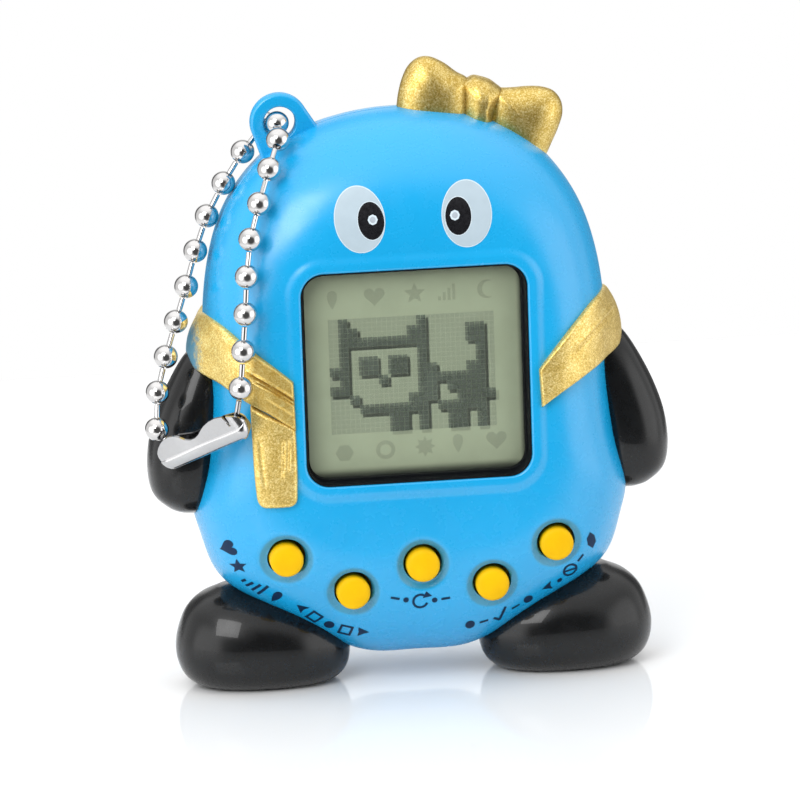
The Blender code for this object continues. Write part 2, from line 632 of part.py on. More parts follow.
# ---- bead chain ----
def spline(knots, per=24):
    """A smooth curve through the knots, as a dense list of points."""
    p = [np.array(k, float) for k in knots]
    p = [2 * p[0] - p[1]] + p + [2 * p[-1] - p[-2]]
    out = []
    for i in range(1, len(p) - 2):
        for j in range(per):
            t = j / per
            out.append(0.5 * (
                2 * p[i] + (p[i + 1] - p[i - 1]) * t
                + (2 * p[i - 1] - 5 * p[i] + 4 * p[i + 1] - p[i + 2]) * t * t
                + (3 * p[i] - p[i - 1] - 3 * p[i + 1] + p[i + 2]) * t ** 3))
    out.append(p[-2])
    return out


def strand(knots, count):
    """Bead centres one pitch apart along the curve, which runs on past its end."""
    path = spline(knots)
    step = path[-1] - path[-2]
    step /= np.linalg.norm(step)
    path += [path[-1] + step * 0.2 * k for k in range(1, 60)]
    beads, last = [path[0]], path[0]
    for a, b in zip(path, path[1:]):
        while np.linalg.norm(b - last) >= BEAD_PITCH and len(beads) < count:
            da, db = np.linalg.norm(a - last), np.linalg.norm(b - last)
            t = (BEAD_PITCH - da) / (db - da) if db > da else 1.0
            last = a + (b - a) * min(1.0, max(0.0, t))
            beads.append(last)
        if len(beads) == count:
            break
    return beads


def add_bead(name, centre, towards):
    """A hollow-looking bead with the pin that links it to the bead above."""
    along = [(-BEAD_R * math.cos(math.pi * k / 6), BEAD_R * math.sin(math.pi * k / 6)) for k in range(6)]
    along[0] = (-BEAD_R, 0.0)
    if towards is None:
        profile, axis = along + [(BEAD_R, 0.0)], (0, 0, 1)
    else:
        axis = Vector(towards) - Vector(centre)
        root = math.sqrt(BEAD_R**2 - LINK_R**2)
        tip = axis.length - BEAD_R - 0.22
        profile = along + [(root, LINK_R), (tip, LINK_R)]
    bm = bmesh.new()
    add_turned(bm, profile, centre, axis=axis, sides=8)
    return mesh_object(name, bm, CHROME, origin=centre)


front_beads = strand(FRONT_STRAND, FRONT_BEADS)
side_beads = strand(SIDE_STRAND, SIDE_BEADS)
add_bead("chain_front_bead_0", front_beads[0], None)
add_bead("chain_side_bead_0", side_beads[0], front_beads[0])
for k in range(1, FRONT_BEADS):
    add_bead("chain_front_bead_%d" % k, front_beads[k], front_beads[k - 1])
for k in range(1, SIDE_BEADS):
    add_bead("chain_side_bead_%d" % k, side_beads[k], side_beads[k - 1])

# connector: a folded channel that grips the last bead of each strand
CONNECTOR_R, CONNECTOR_WALL = 1.75, 0.3
low_end = Vector(side_beads[-1]) + Vector((0.45, -0.35, -3.3))
high_end = Vector(front_beads[-1]) + Vector((-0.35, 0.1, -3.5))
axis = (high_end - low_end).normalized()
reach = (high_end - low_end).length
across = axis.cross(Vector((0, 1, 0))).normalized()
out = across.cross(axis).normalized()
bm = bmesh.new()
rings = []
for along, radius in ((-1.5, 0.75), (-1.1, 1.3), (0.0, CONNECTOR_R), (1.6, 1.45), (reach / 2, 0.95), (reach - 1.6, 1.45), (reach, CONNECTOR_R), (reach + 1.1, 1.3), (reach + 1.5, 0.75)):
    ring = []
    for outer, count in ((True, 11), (False, 11)):
        r = radius if outer else radius - CONNECTOR_WALL
        for i in range(count):
            a = math.radians(-125 + 250 * i / (count - 1))
            if not outer:
                a = -a
            p = low_end + axis * along + across * (r * math.sin(a)) - out * (r * math.cos(a))
            ring.append(tuple(p))
    rings.append(ring)
add_rings(bm, rings)
connector = mesh_object("chain_connector", bm, CHROME, origin=low_end)
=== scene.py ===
"""Looks for the penguin-shaped virtual pet keychain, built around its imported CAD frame.

All shapes are worked out in millimetres from the parting plane of the case and
written into the scene in metres.
"""
import math

import bmesh
import bpy
import numpy as np
from mathutils import Matrix, Vector

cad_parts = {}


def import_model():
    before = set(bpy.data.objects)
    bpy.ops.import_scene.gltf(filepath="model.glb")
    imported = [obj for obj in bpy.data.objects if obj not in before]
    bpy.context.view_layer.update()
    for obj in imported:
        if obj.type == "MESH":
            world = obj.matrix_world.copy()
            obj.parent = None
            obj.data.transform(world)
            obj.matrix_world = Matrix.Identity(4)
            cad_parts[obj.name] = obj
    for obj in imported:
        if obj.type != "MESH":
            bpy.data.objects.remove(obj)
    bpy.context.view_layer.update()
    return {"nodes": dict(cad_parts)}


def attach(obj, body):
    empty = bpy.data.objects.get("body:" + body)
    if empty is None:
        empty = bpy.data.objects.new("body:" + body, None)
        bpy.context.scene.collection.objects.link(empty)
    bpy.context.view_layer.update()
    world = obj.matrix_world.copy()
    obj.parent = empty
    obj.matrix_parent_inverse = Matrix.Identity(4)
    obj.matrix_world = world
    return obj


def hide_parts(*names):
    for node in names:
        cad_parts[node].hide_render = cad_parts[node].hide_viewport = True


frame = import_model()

MM = 0.001
PARTING_Y = 1.9
CENTRE_Z = 32.0

# half widths of the case outline, from the crown down to the belly
OUTLINE = (
    (0.0, 60.9), (5.0, 60.45), (9.5, 59.2), (13.9, 56.7), (16.9, 53.4),
    (18.8, 50.1), (20.0, 46.6), (20.8, 42.5), (21.1, 38.0), (21.0, 33.0),
    (21.5, 28.0), (22.4, 23.0), (23.0, 19.6), (22.3, 16.6), (20.5, 11.9),
    (18.6, 10.3), (12.9, 6.9), (8.5, 4.2), (5.5, 2.95), (0.0, 2.75),
)
FRONT_DEPTH, BACK_DEPTH = 10.3, 9.5
FRONT_FLAT = (13.5, 15.5, 16.0, 4.0)
BACK_FLAT = (17.5, 20.0, 22.0, 5.0)
WINDOW_CENTRE = (0.0, 34.43)
WINDOW_HALF, WINDOW_CORNER = (11.79, 11.28), 2.4
BEZEL_PROUD = 0.4
BUTTONS = {
    "outer_left": (-14.2, 15.45),
    "inner_left": (-7.32, 11.5),
    "centre": (0.0, 14.15),
    "inner_right": (7.32, 11.5),
    "outer_right": (14.2, 15.45),
}
BUTTON_R, BUTTON_PROUD = 1.75, 0.75
EAR = (-12.37, 60.0)
EAR_R, EAR_HOLE_R, EAR_HALF = 3.05, 1.67, 0.8
EAR_FEET = ((-7.97, 58.7), (-14.09, 55.45))  # where the tab runs into the case
CASE_SCREWS = ((-11.0, 52.0), (11.0, 52.0), (-17.0, 21.5), (17.0, 21.5))
DOOR_HALF, DOOR_Z, DOOR_LUG = 13.7, (12.7, 26.9), (3.2, 31.3)
DOOR_SCREW = (0.0, 28.9)


# ---------------------------------------------------------------- numbers
def smooth(a, b, x):
    t = np.clip((np.asarray(x, float) - a) / (b - a), 0.0, 1.0)
    return t * t * (3 - 2 * t)


def periodic_spline(t, y, period):
    """Second-derivative-continuous closed curve through (t, y), as a function."""
    t, y = np.asarray(t, float), np.asarray(y, float)
    n = len(t)
    h = np.diff(np.append(t, t[0] + period))
    a = np.zeros((n, n))
    b = np.zeros(n)
    for i in range(n):
        hp, hn = h[i - 1], h[i]
        a[i, i - 1] += hp
        a[i, i] += 2 * (hp + hn)
        a[i, (i + 1) % n] += hn
        b[i] = 6 * ((y[(i + 1) % n] - y[i]) / hn - (y[i] - y[i - 1]) / hp)
    m = np.linalg.solve(a, b)

    def value(q):
        q = (np.asarray(q, float) - t[0]) % period + t[0]
        i = np.clip(np.searchsorted(t, q, side="right") - 1, 0, n - 1)
        j = (i + 1) % n
        u, v = t[i] + h[i] - q, q - t[i]
        return (
            m[i] * u**3 / (6 * h[i]) + m[j] * v**3 / (6 * h[i])
            + (y[i] / h[i] - m[i] * h[i] / 6) * u
            + (y[j] / h[i] - m[j] * h[i] / 6) * v
        )

    return value


def curve(points, count, closed=False, per=40):
    """Evenly spaced points on a centripetal Catmull-Rom curve through the given ones."""
    p = np.asarray(points, float)
    if closed:
        p = np.vstack([p[-1], p, p[0], p[1]])
    else:
        p = np.vstack([2 * p[0] - p[1], p, 2 * p[-1] - p[-2]])
    out = []
    for i in range(1, len(p) - 2):
        a, b, c, d = p[i - 1], p[i], p[i + 1], p[i + 2]
        k0 = 0.0
        k1 = k0 + max(1e-6, np.linalg.norm(b - a)) ** 0.5
        k2 = k1 + max(1e-6, np.linalg.norm(c - b)) ** 0.5
        k3 = k2 + max(1e-6, np.linalg.norm(d - c)) ** 0.5
        for j in range(per):
            t = k1 + (k2 - k1) * j / per
            a1 = (k1 - t) / (k1 - k0) * a + (t - k0) / (k1 - k0) * b
            a2 = (k2 - t) / (k2 - k1) * b + (t - k1) / (k2 - k1) * c
            a3 = (k3 - t) / (k3 - k2) * c + (t - k2) / (k3 - k2) * d
            b1 = (k2 - t) / (k2 - k0) * a1 + (t - k0) / (k2 - k0) * a2
            b2 = (k3 - t) / (k3 - k1) * a2 + (t - k1) / (k3 - k1) * a3
            out.append((k2 - t) / (k2 - k1) * b1 + (t - k1) / (k2 - k1) * b2)
    if not closed:
        out.append(p[-2])
    out = np.array(out)
    ends = np.vstack([out, out[:1]]) if closed else out
    length = np.append(0, np.cumsum(np.linalg.norm(np.diff(ends, axis=0), axis=1)))
    want = np.linspace(0, length[-1], count + 1)[:-1] if closed else np.linspace(0, length[-1], count)
    return np.stack([np.interp(want, length, ends[:, k]) for k in range(p.shape[1])], -1)


def _edge_table():
    x, z = np.array(OUTLINE).T
    phi, r = np.arctan2(x, z - CENTRE_Z), np.hypot(x, z - CENTRE_Z)
    t = np.concatenate([-phi[:0:-1], phi[:-1]])
    y = np.concatenate([r[:0:-1], r[:-1]])
    f = periodic_spline(t, y, 2 * math.pi)
    q = np.linspace(-math.pi, math.pi, 2881)[:-1]
    v = f(q)
    w = np.exp(-0.5 * (np.arange(-40, 41) / 13.0) ** 2)
    v = np.convolve(np.concatenate([v[-40:], v, v[:40]]), w / w.sum(), "valid")
    v = (v + v[::-1][np.r_[-1, 0:len(v) - 1]]) / 2
    return np.append(q, math.pi), np.append(v, v[0])


_EDGE_Q, _EDGE_R = _edge_table()


def edge_radius(a):
    """Radius of the case outline at angle a from +X, turning to +Z."""
    phi = math.pi / 2 - np.asarray(a, float)
    phi = (phi + math.pi) % (2 * math.pi) - math.pi
    return np.interp(phi, _EDGE_Q, _EDGE_R)


def flat_radius(a, flat):
    half, above, below, square = flat
    c, s = np.abs(np.cos(a)), np.sin(a)
    reach = np.where(s > 0, above, below)
    return ((c / half) ** square + (np.abs(s) / reach) ** square) ** (-1 / square)


FALL = 2.25  # how softly the flat face turns over into the side


def fall(s):
    return np.sqrt(np.clip(1 - np.clip(s, 0, 1) ** FALL, 0, 1))


def dome(x, z, depth=FRONT_DEPTH, flat=FRONT_FLAT, out=0.0):
    a, r = np.arctan2(np.asarray(z, float) - CENTRE_Z, x), np.hypot(x, np.asarray(z, float) - CENTRE_Z)
    inner, edge = flat_radius(a, flat), edge_radius(a) + out
    return depth * fall((r - inner) / (edge - inner))


def ring_dome(depth, flat, side, turns, around, out=0.0):
    """Rings of the dome from its flat face to the rim, each (around, 3)."""
    a = np.linspace(0, 2 * math.pi, around + 1)[:-1]
    inner, edge = flat_radius(a, flat), edge_radius(a) + out
    rings = []
    for turn in turns:
        s = math.sin(turn)
        r = inner + (edge - inner) * s
        rings.append(np.stack([r * np.cos(a), np.full(around, side * depth * float(fall(s))), CENTRE_Z + r * np.sin(a)], -1))
    return rings


def rrect_reach(a, half, corner):
    """Distance from the centre of a rounded rectangle to its edge at angle a."""
    c, s = np.abs(np.cos(a)), np.abs(np.sin(a))
    c, s = np.maximum(c, 1e-9), np.maximum(s, 1e-9)
    hx, hz = half
    t = np.minimum(hx / c, hz / s)
    px, pz = c * t, s * t
    cx, cz = hx - corner, hz - corner
    b = c * cx + s * cz
    d = b * b - (cx * cx + cz * cz - corner * corner)
    arc = b + np.sqrt(np.maximum(d, 0))
    return np.where((px > cx) & (pz > cz), arc, t)


def window_loop(grow, around):
    a = np.linspace(0, 2 * math.pi, around + 1)[:-1]
    r = rrect_reach(a, [h + grow for h in WINDOW_HALF], max(0.3, WINDOW_CORNER + grow))
    return np.stack([WINDOW_CENTRE[0] + r * np.cos(a), WINDOW_CENTRE[1] + r * np.sin(a)], -1)


# ---------------------------------------------------------------- mesh making
def world(points):
    p = np.asarray(points, float).reshape(-1, 3) * MM
    p[:, 1] += PARTING_Y * MM
    return p


def grid_faces(rows, cols, wrap=True, base=0, flip=False):
    i = np.arange(rows - 1)[:, None]
    j = np.arange(cols if wrap else cols - 1)[None, :]
    k = (j + 1) % cols
    f = np.stack([i * cols + j, i * cols + k, (i + 1) * cols + k, (i + 1) * cols + j], -1).reshape(-1, 4) + base
    return (f[:, ::-1] if flip else f).tolist()


def link(name, points, faces, sharp=40.0):
    mesh = bpy.data.meshes.new(name)
    mesh.from_pydata(world(points).tolist(), [], faces)
    mesh.update()
    obj = bpy.data.objects.new(name, mesh)
    bpy.context.scene.collection.objects.link(obj)
    shade(mesh, sharp)
    return obj


def shade(mesh, sharp):
    mesh.shade_smooth()
    if sharp is not None:
        mesh.set_sharp_from_angle(angle=math.radians(sharp))


def outwards(obj):
    """Turns every face of a closed mesh to look out."""
    bm = bmesh.new()
    bm.from_mesh(obj.data)
    bmesh.ops.recalc_face_normals(bm, faces=bm.faces)
    bm.to_mesh(obj.data)
    bm.free()
    return obj


def rings_object(name, rings, cap_first=True, cap_last=True, sharp=40.0):
    """A closed skin over a stack of rings that have the same number of points."""
    n = len(rings[0])
    points = np.vstack(rings)
    faces = grid_faces(len(rings), n)
    if cap_first:
        faces.append(list(range(n))[::-1])
    if cap_last:
        faces.append([(len(rings) - 1) * n + i for i in range(n)])
    return outwards(link(name, points, faces, sharp))


def turned_points(profile, sides, axis=(0, 0, 1), centre=(0, 0, 0)):
    turn = Vector((0, 0, 1)).rotation_difference(Vector(axis).normalized()).to_matrix()
    m = np.array(turn)
    a = np.linspace(0, 2 * math.pi, sides + 1)[:-1]
    rings = []
    for along, radius in profile:
        ring = np.stack([radius * np.cos(a), radius * np.sin(a), np.full(sides, along)], -1)
        rings.append(ring @ m.T + np.asarray(centre, float))
    return rings


def lathe(name, profile, sides=48, axis=(0, 0, 1), centre=(0, 0, 0), sharp=35.0):
    """Turns (distance along axis, radius) about an axis; a radius of 0 makes a pole."""
    clean = [(a, max(r, 1e-4)) for a, r in profile]
    return rings_object(name, turned_points(clean, sides, axis, centre), sharp=sharp)


def cutter(obj, other, operation="DIFFERENCE"):
    m = obj.modifiers.new("cut", "BOOLEAN")
    m.operation, m.solver, m.object = operation, "EXACT", other


def settle(obj, drop=(), sharp=40.0):
    """Applies an object's modifiers and removes the helpers it used."""
    bpy.context.view_layer.update()
    graph = bpy.context.evaluated_depsgraph_get()
    mesh = bpy.data.meshes.new_from_object(obj.evaluated_get(graph), depsgraph=graph)
    old, obj.data = obj.data, mesh
    obj.modifiers.clear()
    bpy.data.meshes.remove(old)
    mesh.name = obj.name
    for helper in drop:
        bpy.data.objects.remove(helper, do_unlink=True)
    shade(mesh, sharp)
    return obj


def joined(name, objects, sharp=40.0):
    """One mesh out of several, keeping their materials."""
    bm = bmesh.new()
    materials = []
    for o in objects:
        start = len(bm.faces)
        bm.from_mesh(o.data)
        bm.faces.ensure_lookup_table()
        slots = {}
        for i, m in enumerate(o.data.materials):
            if m not in materials:
                materials.append(m)
            slots[i] = materials.index(m)
        for f in bm.faces[start:]:
            f.material_index = slots.get(f.material_index, 0)
    mesh = bpy.data.meshes.new(name)
    bm.to_mesh(mesh)
    bm.free()
    for m in materials:
        mesh.materials.append(m)
    obj = bpy.data.objects.new(name, mesh)
    bpy.context.scene.collection.objects.link(obj)
    for o in objects:
        bpy.data.objects.remove(o, do_unlink=True)
    shade(mesh, sharp)
    return obj


def piece(obj, material, body="case", replaces=()):
    if material is not None:
        obj.data.materials.clear()
        obj.data.materials.append(material)
    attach(obj, body)
    if replaces:
        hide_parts(*replaces)
    return obj


# ---------------------------------------------------------------- materials
class Nodes:
    """A small helper round one material's node tree."""

    def __init__(self, name, **sockets):
        self.material = bpy.data.materials.new(name)
        self.material.use_nodes = True
        self.tree = self.material.node_tree
        self.shader = self.tree.nodes["Principled BSDF"]
        self.coords = None
        for key, value in sockets.items():
            self.set(key.replace("_", " "), value)

    def set(self, socket, value):
        s = self.shader.inputs[socket]
        if isinstance(value, (tuple, list)) and len(value) == 3 and s.type == "RGBA":
            value = (*value, 1.0)
        s.default_value = value

    def node(self, kind, **props):
        n = self.tree.nodes.new(kind)
        for key, value in props.items():
            setattr(n, key, value)
        return n

    def link(self, a, b):
        self.tree.links.new(a, b)

    def object_coords(self):
        if self.coords is None:
            self.coords = self.node("ShaderNodeTexCoord").outputs["Object"]
        return self.coords

    def scaled(self, scale):
        m = self.node("ShaderNodeMapping")
        m.inputs["Scale"].default_value = scale if isinstance(scale, (tuple, list)) else (scale,) * 3
        self.link(self.object_coords(), m.inputs["Vector"])
        return m.outputs["Vector"]

    def noise(self, per_mm, detail=2.0, roughness=0.5, vector=None, distortion=0.0):
        n = self.node("ShaderNodeTexNoise")
        n.inputs["Scale"].default_value = per_mm * 1000.0
        n.inputs["Detail"].default_value = detail
        n.inputs["Roughness"].default_value = roughness
        n.inputs["Distortion"].default_value = distortion
        self.link(vector or self.object_coords(), n.inputs["Vector"])
        return n.outputs["Fac"]

    def voronoi(self, per_mm, feature="F1", output="Color"):
        n = self.node("ShaderNodeTexVoronoi", feature=feature)
        n.inputs["Scale"].default_value = per_mm * 1000.0
        self.link(self.object_coords(), n.inputs["Vector"])
        return n.outputs[output]

    def ramp(self, fac, *stops):
        n = self.node("ShaderNodeValToRGB")
        e = n.color_ramp.elements
        while len(e) < len(stops):
            e.new(0.5)
        for slot, (at, colour) in zip(e, stops):
            slot.position = at
            slot.color = (*colour, 1.0) if isinstance(colour, (tuple, list)) else (colour,) * 3 + (1.0,)
        self.link(fac, n.inputs["Fac"])
        return n.outputs["Color"]

    def spread(self, fac, low, high, at_low=0.0, at_high=1.0):
        n = self.node("ShaderNodeMapRange")
        for key, value in (("From Min", at_low), ("From Max", at_high), ("To Min", low), ("To Max", high)):
            n.inputs[key].default_value = value
        self.link(fac, n.inputs["Value"])
        return n.outputs["Result"]

    def mix(self, fac, a, b, blend="MIX"):
        n = self.node("ShaderNodeMix", data_type="RGBA", blend_type=blend)
        sockets = [s for s in n.inputs if s.type == "RGBA"]
        for s, value in zip(sockets, (a, b)):
            if isinstance(value, (tuple, list)):
                s.default_value = (*value, 1.0)
            else:
                self.link(value, s)
        if isinstance(fac, (int, float)):
            n.inputs[0].default_value = fac
        else:
            self.link(fac, n.inputs[0])
        return [s for s in n.outputs if s.type == "RGBA"][0]

    def math(self, operation, a, b=None, clamp=False):
        n = self.node("ShaderNodeMath", operation=operation, use_clamp=clamp)
        for s, value in zip(n.inputs, (a, b)):
            if value is None:
                continue
            if isinstance(value, (int, float)):
                s.default_value = value
            else:
                self.link(value, s)
        return n.outputs[0]

    def axis(self, which):
        n = self.node("ShaderNodeSeparateXYZ")
        self.link(self.object_coords(), n.inputs[0])
        return n.outputs[which]

    def colour(self, socket):
        self.link(socket, self.shader.inputs["Base Color"])

    def roughness(self, socket):
        self.link(socket, self.shader.inputs["Roughness"])

    def bump(self, height, strength, distance_mm):
        n = self.node("ShaderNodeBump")
        n.inputs["Strength"].default_value = strength
        n.inputs["Distance"].default_value = distance_mm * MM
        self.link(height, n.inputs["Height"])
        self.link(n.outputs["Normal"], self.shader.inputs["Normal"])


def blue_plastic(name="blue_plastic", tint=1.0, dish_shade=False):
    n = Nodes(name, IOR=1.62)
    broad = n.noise(0.06, 3.0, 0.55)
    speck = n.noise(0.9, 5.0, 0.75)
    body = n.ramp(broad, (0.3, (0.003 * tint, 0.326 * tint, 0.650 * tint)), (0.7, (0.006 * tint, 0.360 * tint, 0.712 * tint)))
    pale = n.mix(n.spread(speck, 0.0, 0.10, 0.62, 0.74), body, (0.10, 0.50, 0.88))
    if dish_shade:
        # painted shade: each button dish is darkened inside its rim, standing in for the shade in these recesses
        xz = n.node("ShaderNodeVectorMath", operation="MULTIPLY")
        n.link(n.object_coords(), xz.inputs[0])
        xz.inputs[1].default_value = (1, 0, 1)
        dish_shade_mask = None
        for x, z in BUTTONS.values():
            far = n.node("ShaderNodeVectorMath", operation="DISTANCE")
            n.link(xz.outputs[0], far.inputs[0])
            far.inputs[1].default_value = (x * MM, 0, z * MM)
            ring = n.spread(far.outputs["Value"], 1.0, 0.0, 2.62 * MM, 2.86 * MM)
            dish_shade_mask = ring if dish_shade_mask is None else n.math("MAXIMUM", dish_shade_mask, ring)
        pale = n.mix(n.math("MULTIPLY", dish_shade_mask, 0.85), pale, (0.030, 0.245, 0.40))
    n.colour(pale)
    fine = n.noise(0.5, 4.0, 0.6)
    n.roughness(n.spread(fine, 0.23, 0.31, 0.3, 0.7))
    n.bump(n.noise(2.2, 4.0, 0.65), 0.10, 0.03)
    return n.material


def gold_paint(name="gold_paint", metallic=0.6, light=1.0, rough=(0.32, 0.46), thin=None, painted_shade_span=None):
    n = Nodes(name, Metallic=metallic, IOR=1.5)
    flake = n.voronoi(8.5)
    grey = n.node("ShaderNodeSeparateColor")
    n.link(flake, grey.inputs[0])
    grain = n.noise(5.5, 4.0, 0.75)
    patchy = n.noise(0.8, 3.0, 0.6)
    both = n.math("ADD", n.math("MULTIPLY", grey.outputs[0], 0.26), n.math("ADD", n.math("MULTIPLY", grain, 0.54), n.math("MULTIPLY", patchy, 0.20)))
    # light is a painted light level: lit and shaded copies of this one gold paint scale its whole ramp by it
    tone = lambda *c: tuple(min(1.0, v * light) for v in c)
    paint = n.ramp(both, (0.30, tone(0.46, 0.29, 0.05)), (0.5, tone(0.72, 0.515, 0.135)), (0.70, tone(1.0, 0.84, 0.40)))
    # painted shade: the paint darkens along X from start to end, for a part that faces away from the light
    if painted_shade_span is not None:
        start, end, amount = painted_shade_span
        paint = n.mix(n.spread(n.axis(0), 0.0, amount, start * MM, end * MM), paint, tone(0.36, 0.22, 0.035))
    if thin is not None:
        # the paint thins out to the blue of the case
        for axis, full, none, amount in thin:
            place = n.math("ADD", n.axis(axis), n.math("MULTIPLY", n.math("SUBTRACT", n.noise(1.4, 4.0, 0.75), 0.5), 0.0022))
            paint = n.mix(n.spread(place, 0.0, amount, full * MM, none * MM), paint, (0.03, 0.30, 0.50))
    n.colour(paint)
    n.roughness(n.spread(grain, rough[0], rough[1], 0.3, 0.7))
    n.bump(both, 0.22, 0.05)
    return n.material


def black_plastic(name="black_plastic"):
    n = Nodes(name, IOR=1.30, Coat_Weight=0.42, Coat_Roughness=0.035, Coat_IOR=1.45)
    smudge = n.noise(0.25, 4.0, 0.6)
    n.colour(n.ramp(smudge, (0.3, (0.0032, 0.0034, 0.0036)), (0.7, (0.006, 0.0064, 0.0068))))
    n.roughness(n.spread(n.noise(0.6, 5.0, 0.65), 0.20, 0.34, 0.3, 0.7))
    n.bump(n.noise(1.4, 4.0, 0.6), 0.10, 0.03)
    return n.material


def black_matte(name="black_matte"):
    n = Nodes(name, IOR=1.45)
    grain = n.noise(6.0, 3.0, 0.6)
    n.colour(n.ramp(grain, (0.3, (0.008, 0.008, 0.009)), (0.7, (0.014, 0.014, 0.015))))
    n.roughness(n.spread(grain, 0.5, 0.7, 0.3, 0.7))
    n.bump(grain, 0.2, 0.02)
    return n.material


def yellow_silicone(name="yellow_rubber"):
    n = Nodes(name, IOR=1.22)
    broad = n.noise(0.35, 3.0, 0.55)
    n.colour(n.ramp(broad, (0.3, (0.74, 0.415, 0.0005)), (0.7, (0.82, 0.48, 0.001))))
    n.roughness(n.spread(n.noise(2.5, 3.0), 0.45, 0.58, 0.3, 0.7))
    n.bump(n.noise(3.0, 4.0, 0.7), 0.18, 0.03)
    return n.material


def metal(name, base, rough=(0.05, 0.12), scratch=0.05, per_mm=2.0):
    n = Nodes(name, Metallic=1.0)
    grain = n.noise(per_mm, 4.0, 0.65)
    low = tuple(c * 0.93 for c in base)
    n.colour(n.ramp(grain, (0.3, low), (0.7, base)))
    n.roughness(n.spread(grain, rough[0], rough[1], 0.3, 0.7))
    n.bump(grain, scratch, 0.01)
    return n.material


def mottled(name, base, rough=(0.4, 0.55), per_mm=2.0, amount=0.12, bump=0.15, **sockets):
    n = Nodes(name, **sockets)
    grain = n.noise(per_mm, 4.0, 0.6)
    low = tuple(c * (1 - amount) for c in base)
    high = tuple(min(1.0, c * (1 + amount)) for c in base)
    n.colour(n.ramp(grain, (0.3, low), (0.7, high)))
    n.roughness(n.spread(grain, rough[0], rough[1], 0.3, 0.7))
    n.bump(grain, bump, 0.02)
    return n.material


def clear_lens(name="clear_lens"):
    m = bpy.data.materials.new(name)
    m.use_nodes = True
    t = m.node_tree
    t.nodes.remove(t.nodes["Principled BSDF"])
    out = t.nodes["Material Output"]
    mix = t.nodes.new("ShaderNodeMixShader")
    clear = t.nodes.new("ShaderNodeBsdfTransparent")
    clear.inputs["Color"].default_value = (0.97, 0.975, 0.965, 1)
    gloss = t.nodes.new("ShaderNodeBsdfGlossy")
    gloss.inputs["Roughness"].default_value = 0.04
    fresnel = t.nodes.new("ShaderNodeFresnel")
    fresnel.inputs["IOR"].default_value = 1.38
    side = t.nodes.new("ShaderNodeNewGeometry")
    front_only = t.nodes.new("ShaderNodeMath")
    front_only.operation = "SUBTRACT"
    front_only.inputs[0].default_value = 1.0
    t.links.new(side.outputs["Backfacing"], front_only.inputs[1])
    share = t.nodes.new("ShaderNodeMath")
    share.operation = "MULTIPLY"
    t.links.new(fresnel.outputs[0], share.inputs[0])
    t.links.new(front_only.outputs[0], share.inputs[1])
    t.links.new(share.outputs[0], mix.inputs[0])
    t.links.new(clear.outputs[0], mix.inputs[1])
    t.links.new(gloss.outputs[0], mix.inputs[2])
    t.links.new(mix.outputs[0], out.inputs["Surface"])
    return m


BLUE = blue_plastic()
GOLD = gold_paint()
# painted shade: the bow takes a darker copy of the gold paint
GOLD_BOW_SHADED = gold_paint("gold_paint_bow_shaded", 0.92, 0.83, (0.34, 0.46))
# painted light: the left band takes a lighter copy of the gold paint, with painted shade over its crossing from x -17.7
# to -16.9 mm; its paint also thins out to the blue of the case at the flank
GOLD_LEFT_LIT = gold_paint("gold_paint_left_lit", 0.55, 1.12, (0.30, 0.42), thin=((0, -21.75, -22.5, 0.9),), painted_shade_span=(-17.7, -16.9, 0.42))
BLUE_FRONT = blue_plastic("blue_plastic_front_dish_shade", dish_shade=True)
BLACK = black_plastic()
MATTE = black_matte()
YELLOW = yellow_silicone()
CHROME = metal("chrome", (0.62, 0.61, 0.605), (0.04, 0.10), 0.03, 3.0)
NICKEL = metal("nickel", (0.50, 0.50, 0.505), (0.10, 0.20), 0.06, 3.0)
STEEL = metal("bright_steel", (0.60, 0.60, 0.61), (0.18, 0.32), 0.1, 4.0)
BRASS = metal("brass", (0.72, 0.53, 0.22), (0.2, 0.35), 0.1, 3.0)
INK_BLACK = mottled("ink_black", (0.006, 0.006, 0.008), (0.22, 0.34), 3.0, 0.3, 0.05)
INK_WHITE = mottled("ink_white", (0.41, 0.505, 0.57), (0.32, 0.42), 0.8, 0.03, 0.05)
INK_GREY = mottled("ink_grey", (0.40, 0.45, 0.50), (0.28, 0.38), 2.0, 0.08, 0.05)
INK_NAVY = mottled("ink_navy", (0.003, 0.022, 0.065), (0.4, 0.5), 3.0, 0.3, 0.05, IOR=1.25)
INK_RIM = mottled("ink_rim", (0.60, 0.70, 0.76), (0.32, 0.42), 0.8, 0.03, 0.05)
DEEP_BLACK = mottled("deep_black", (0.003, 0.004, 0.006), (0.5, 0.6), 2.0, 0.3, 0.1, IOR=1.2)

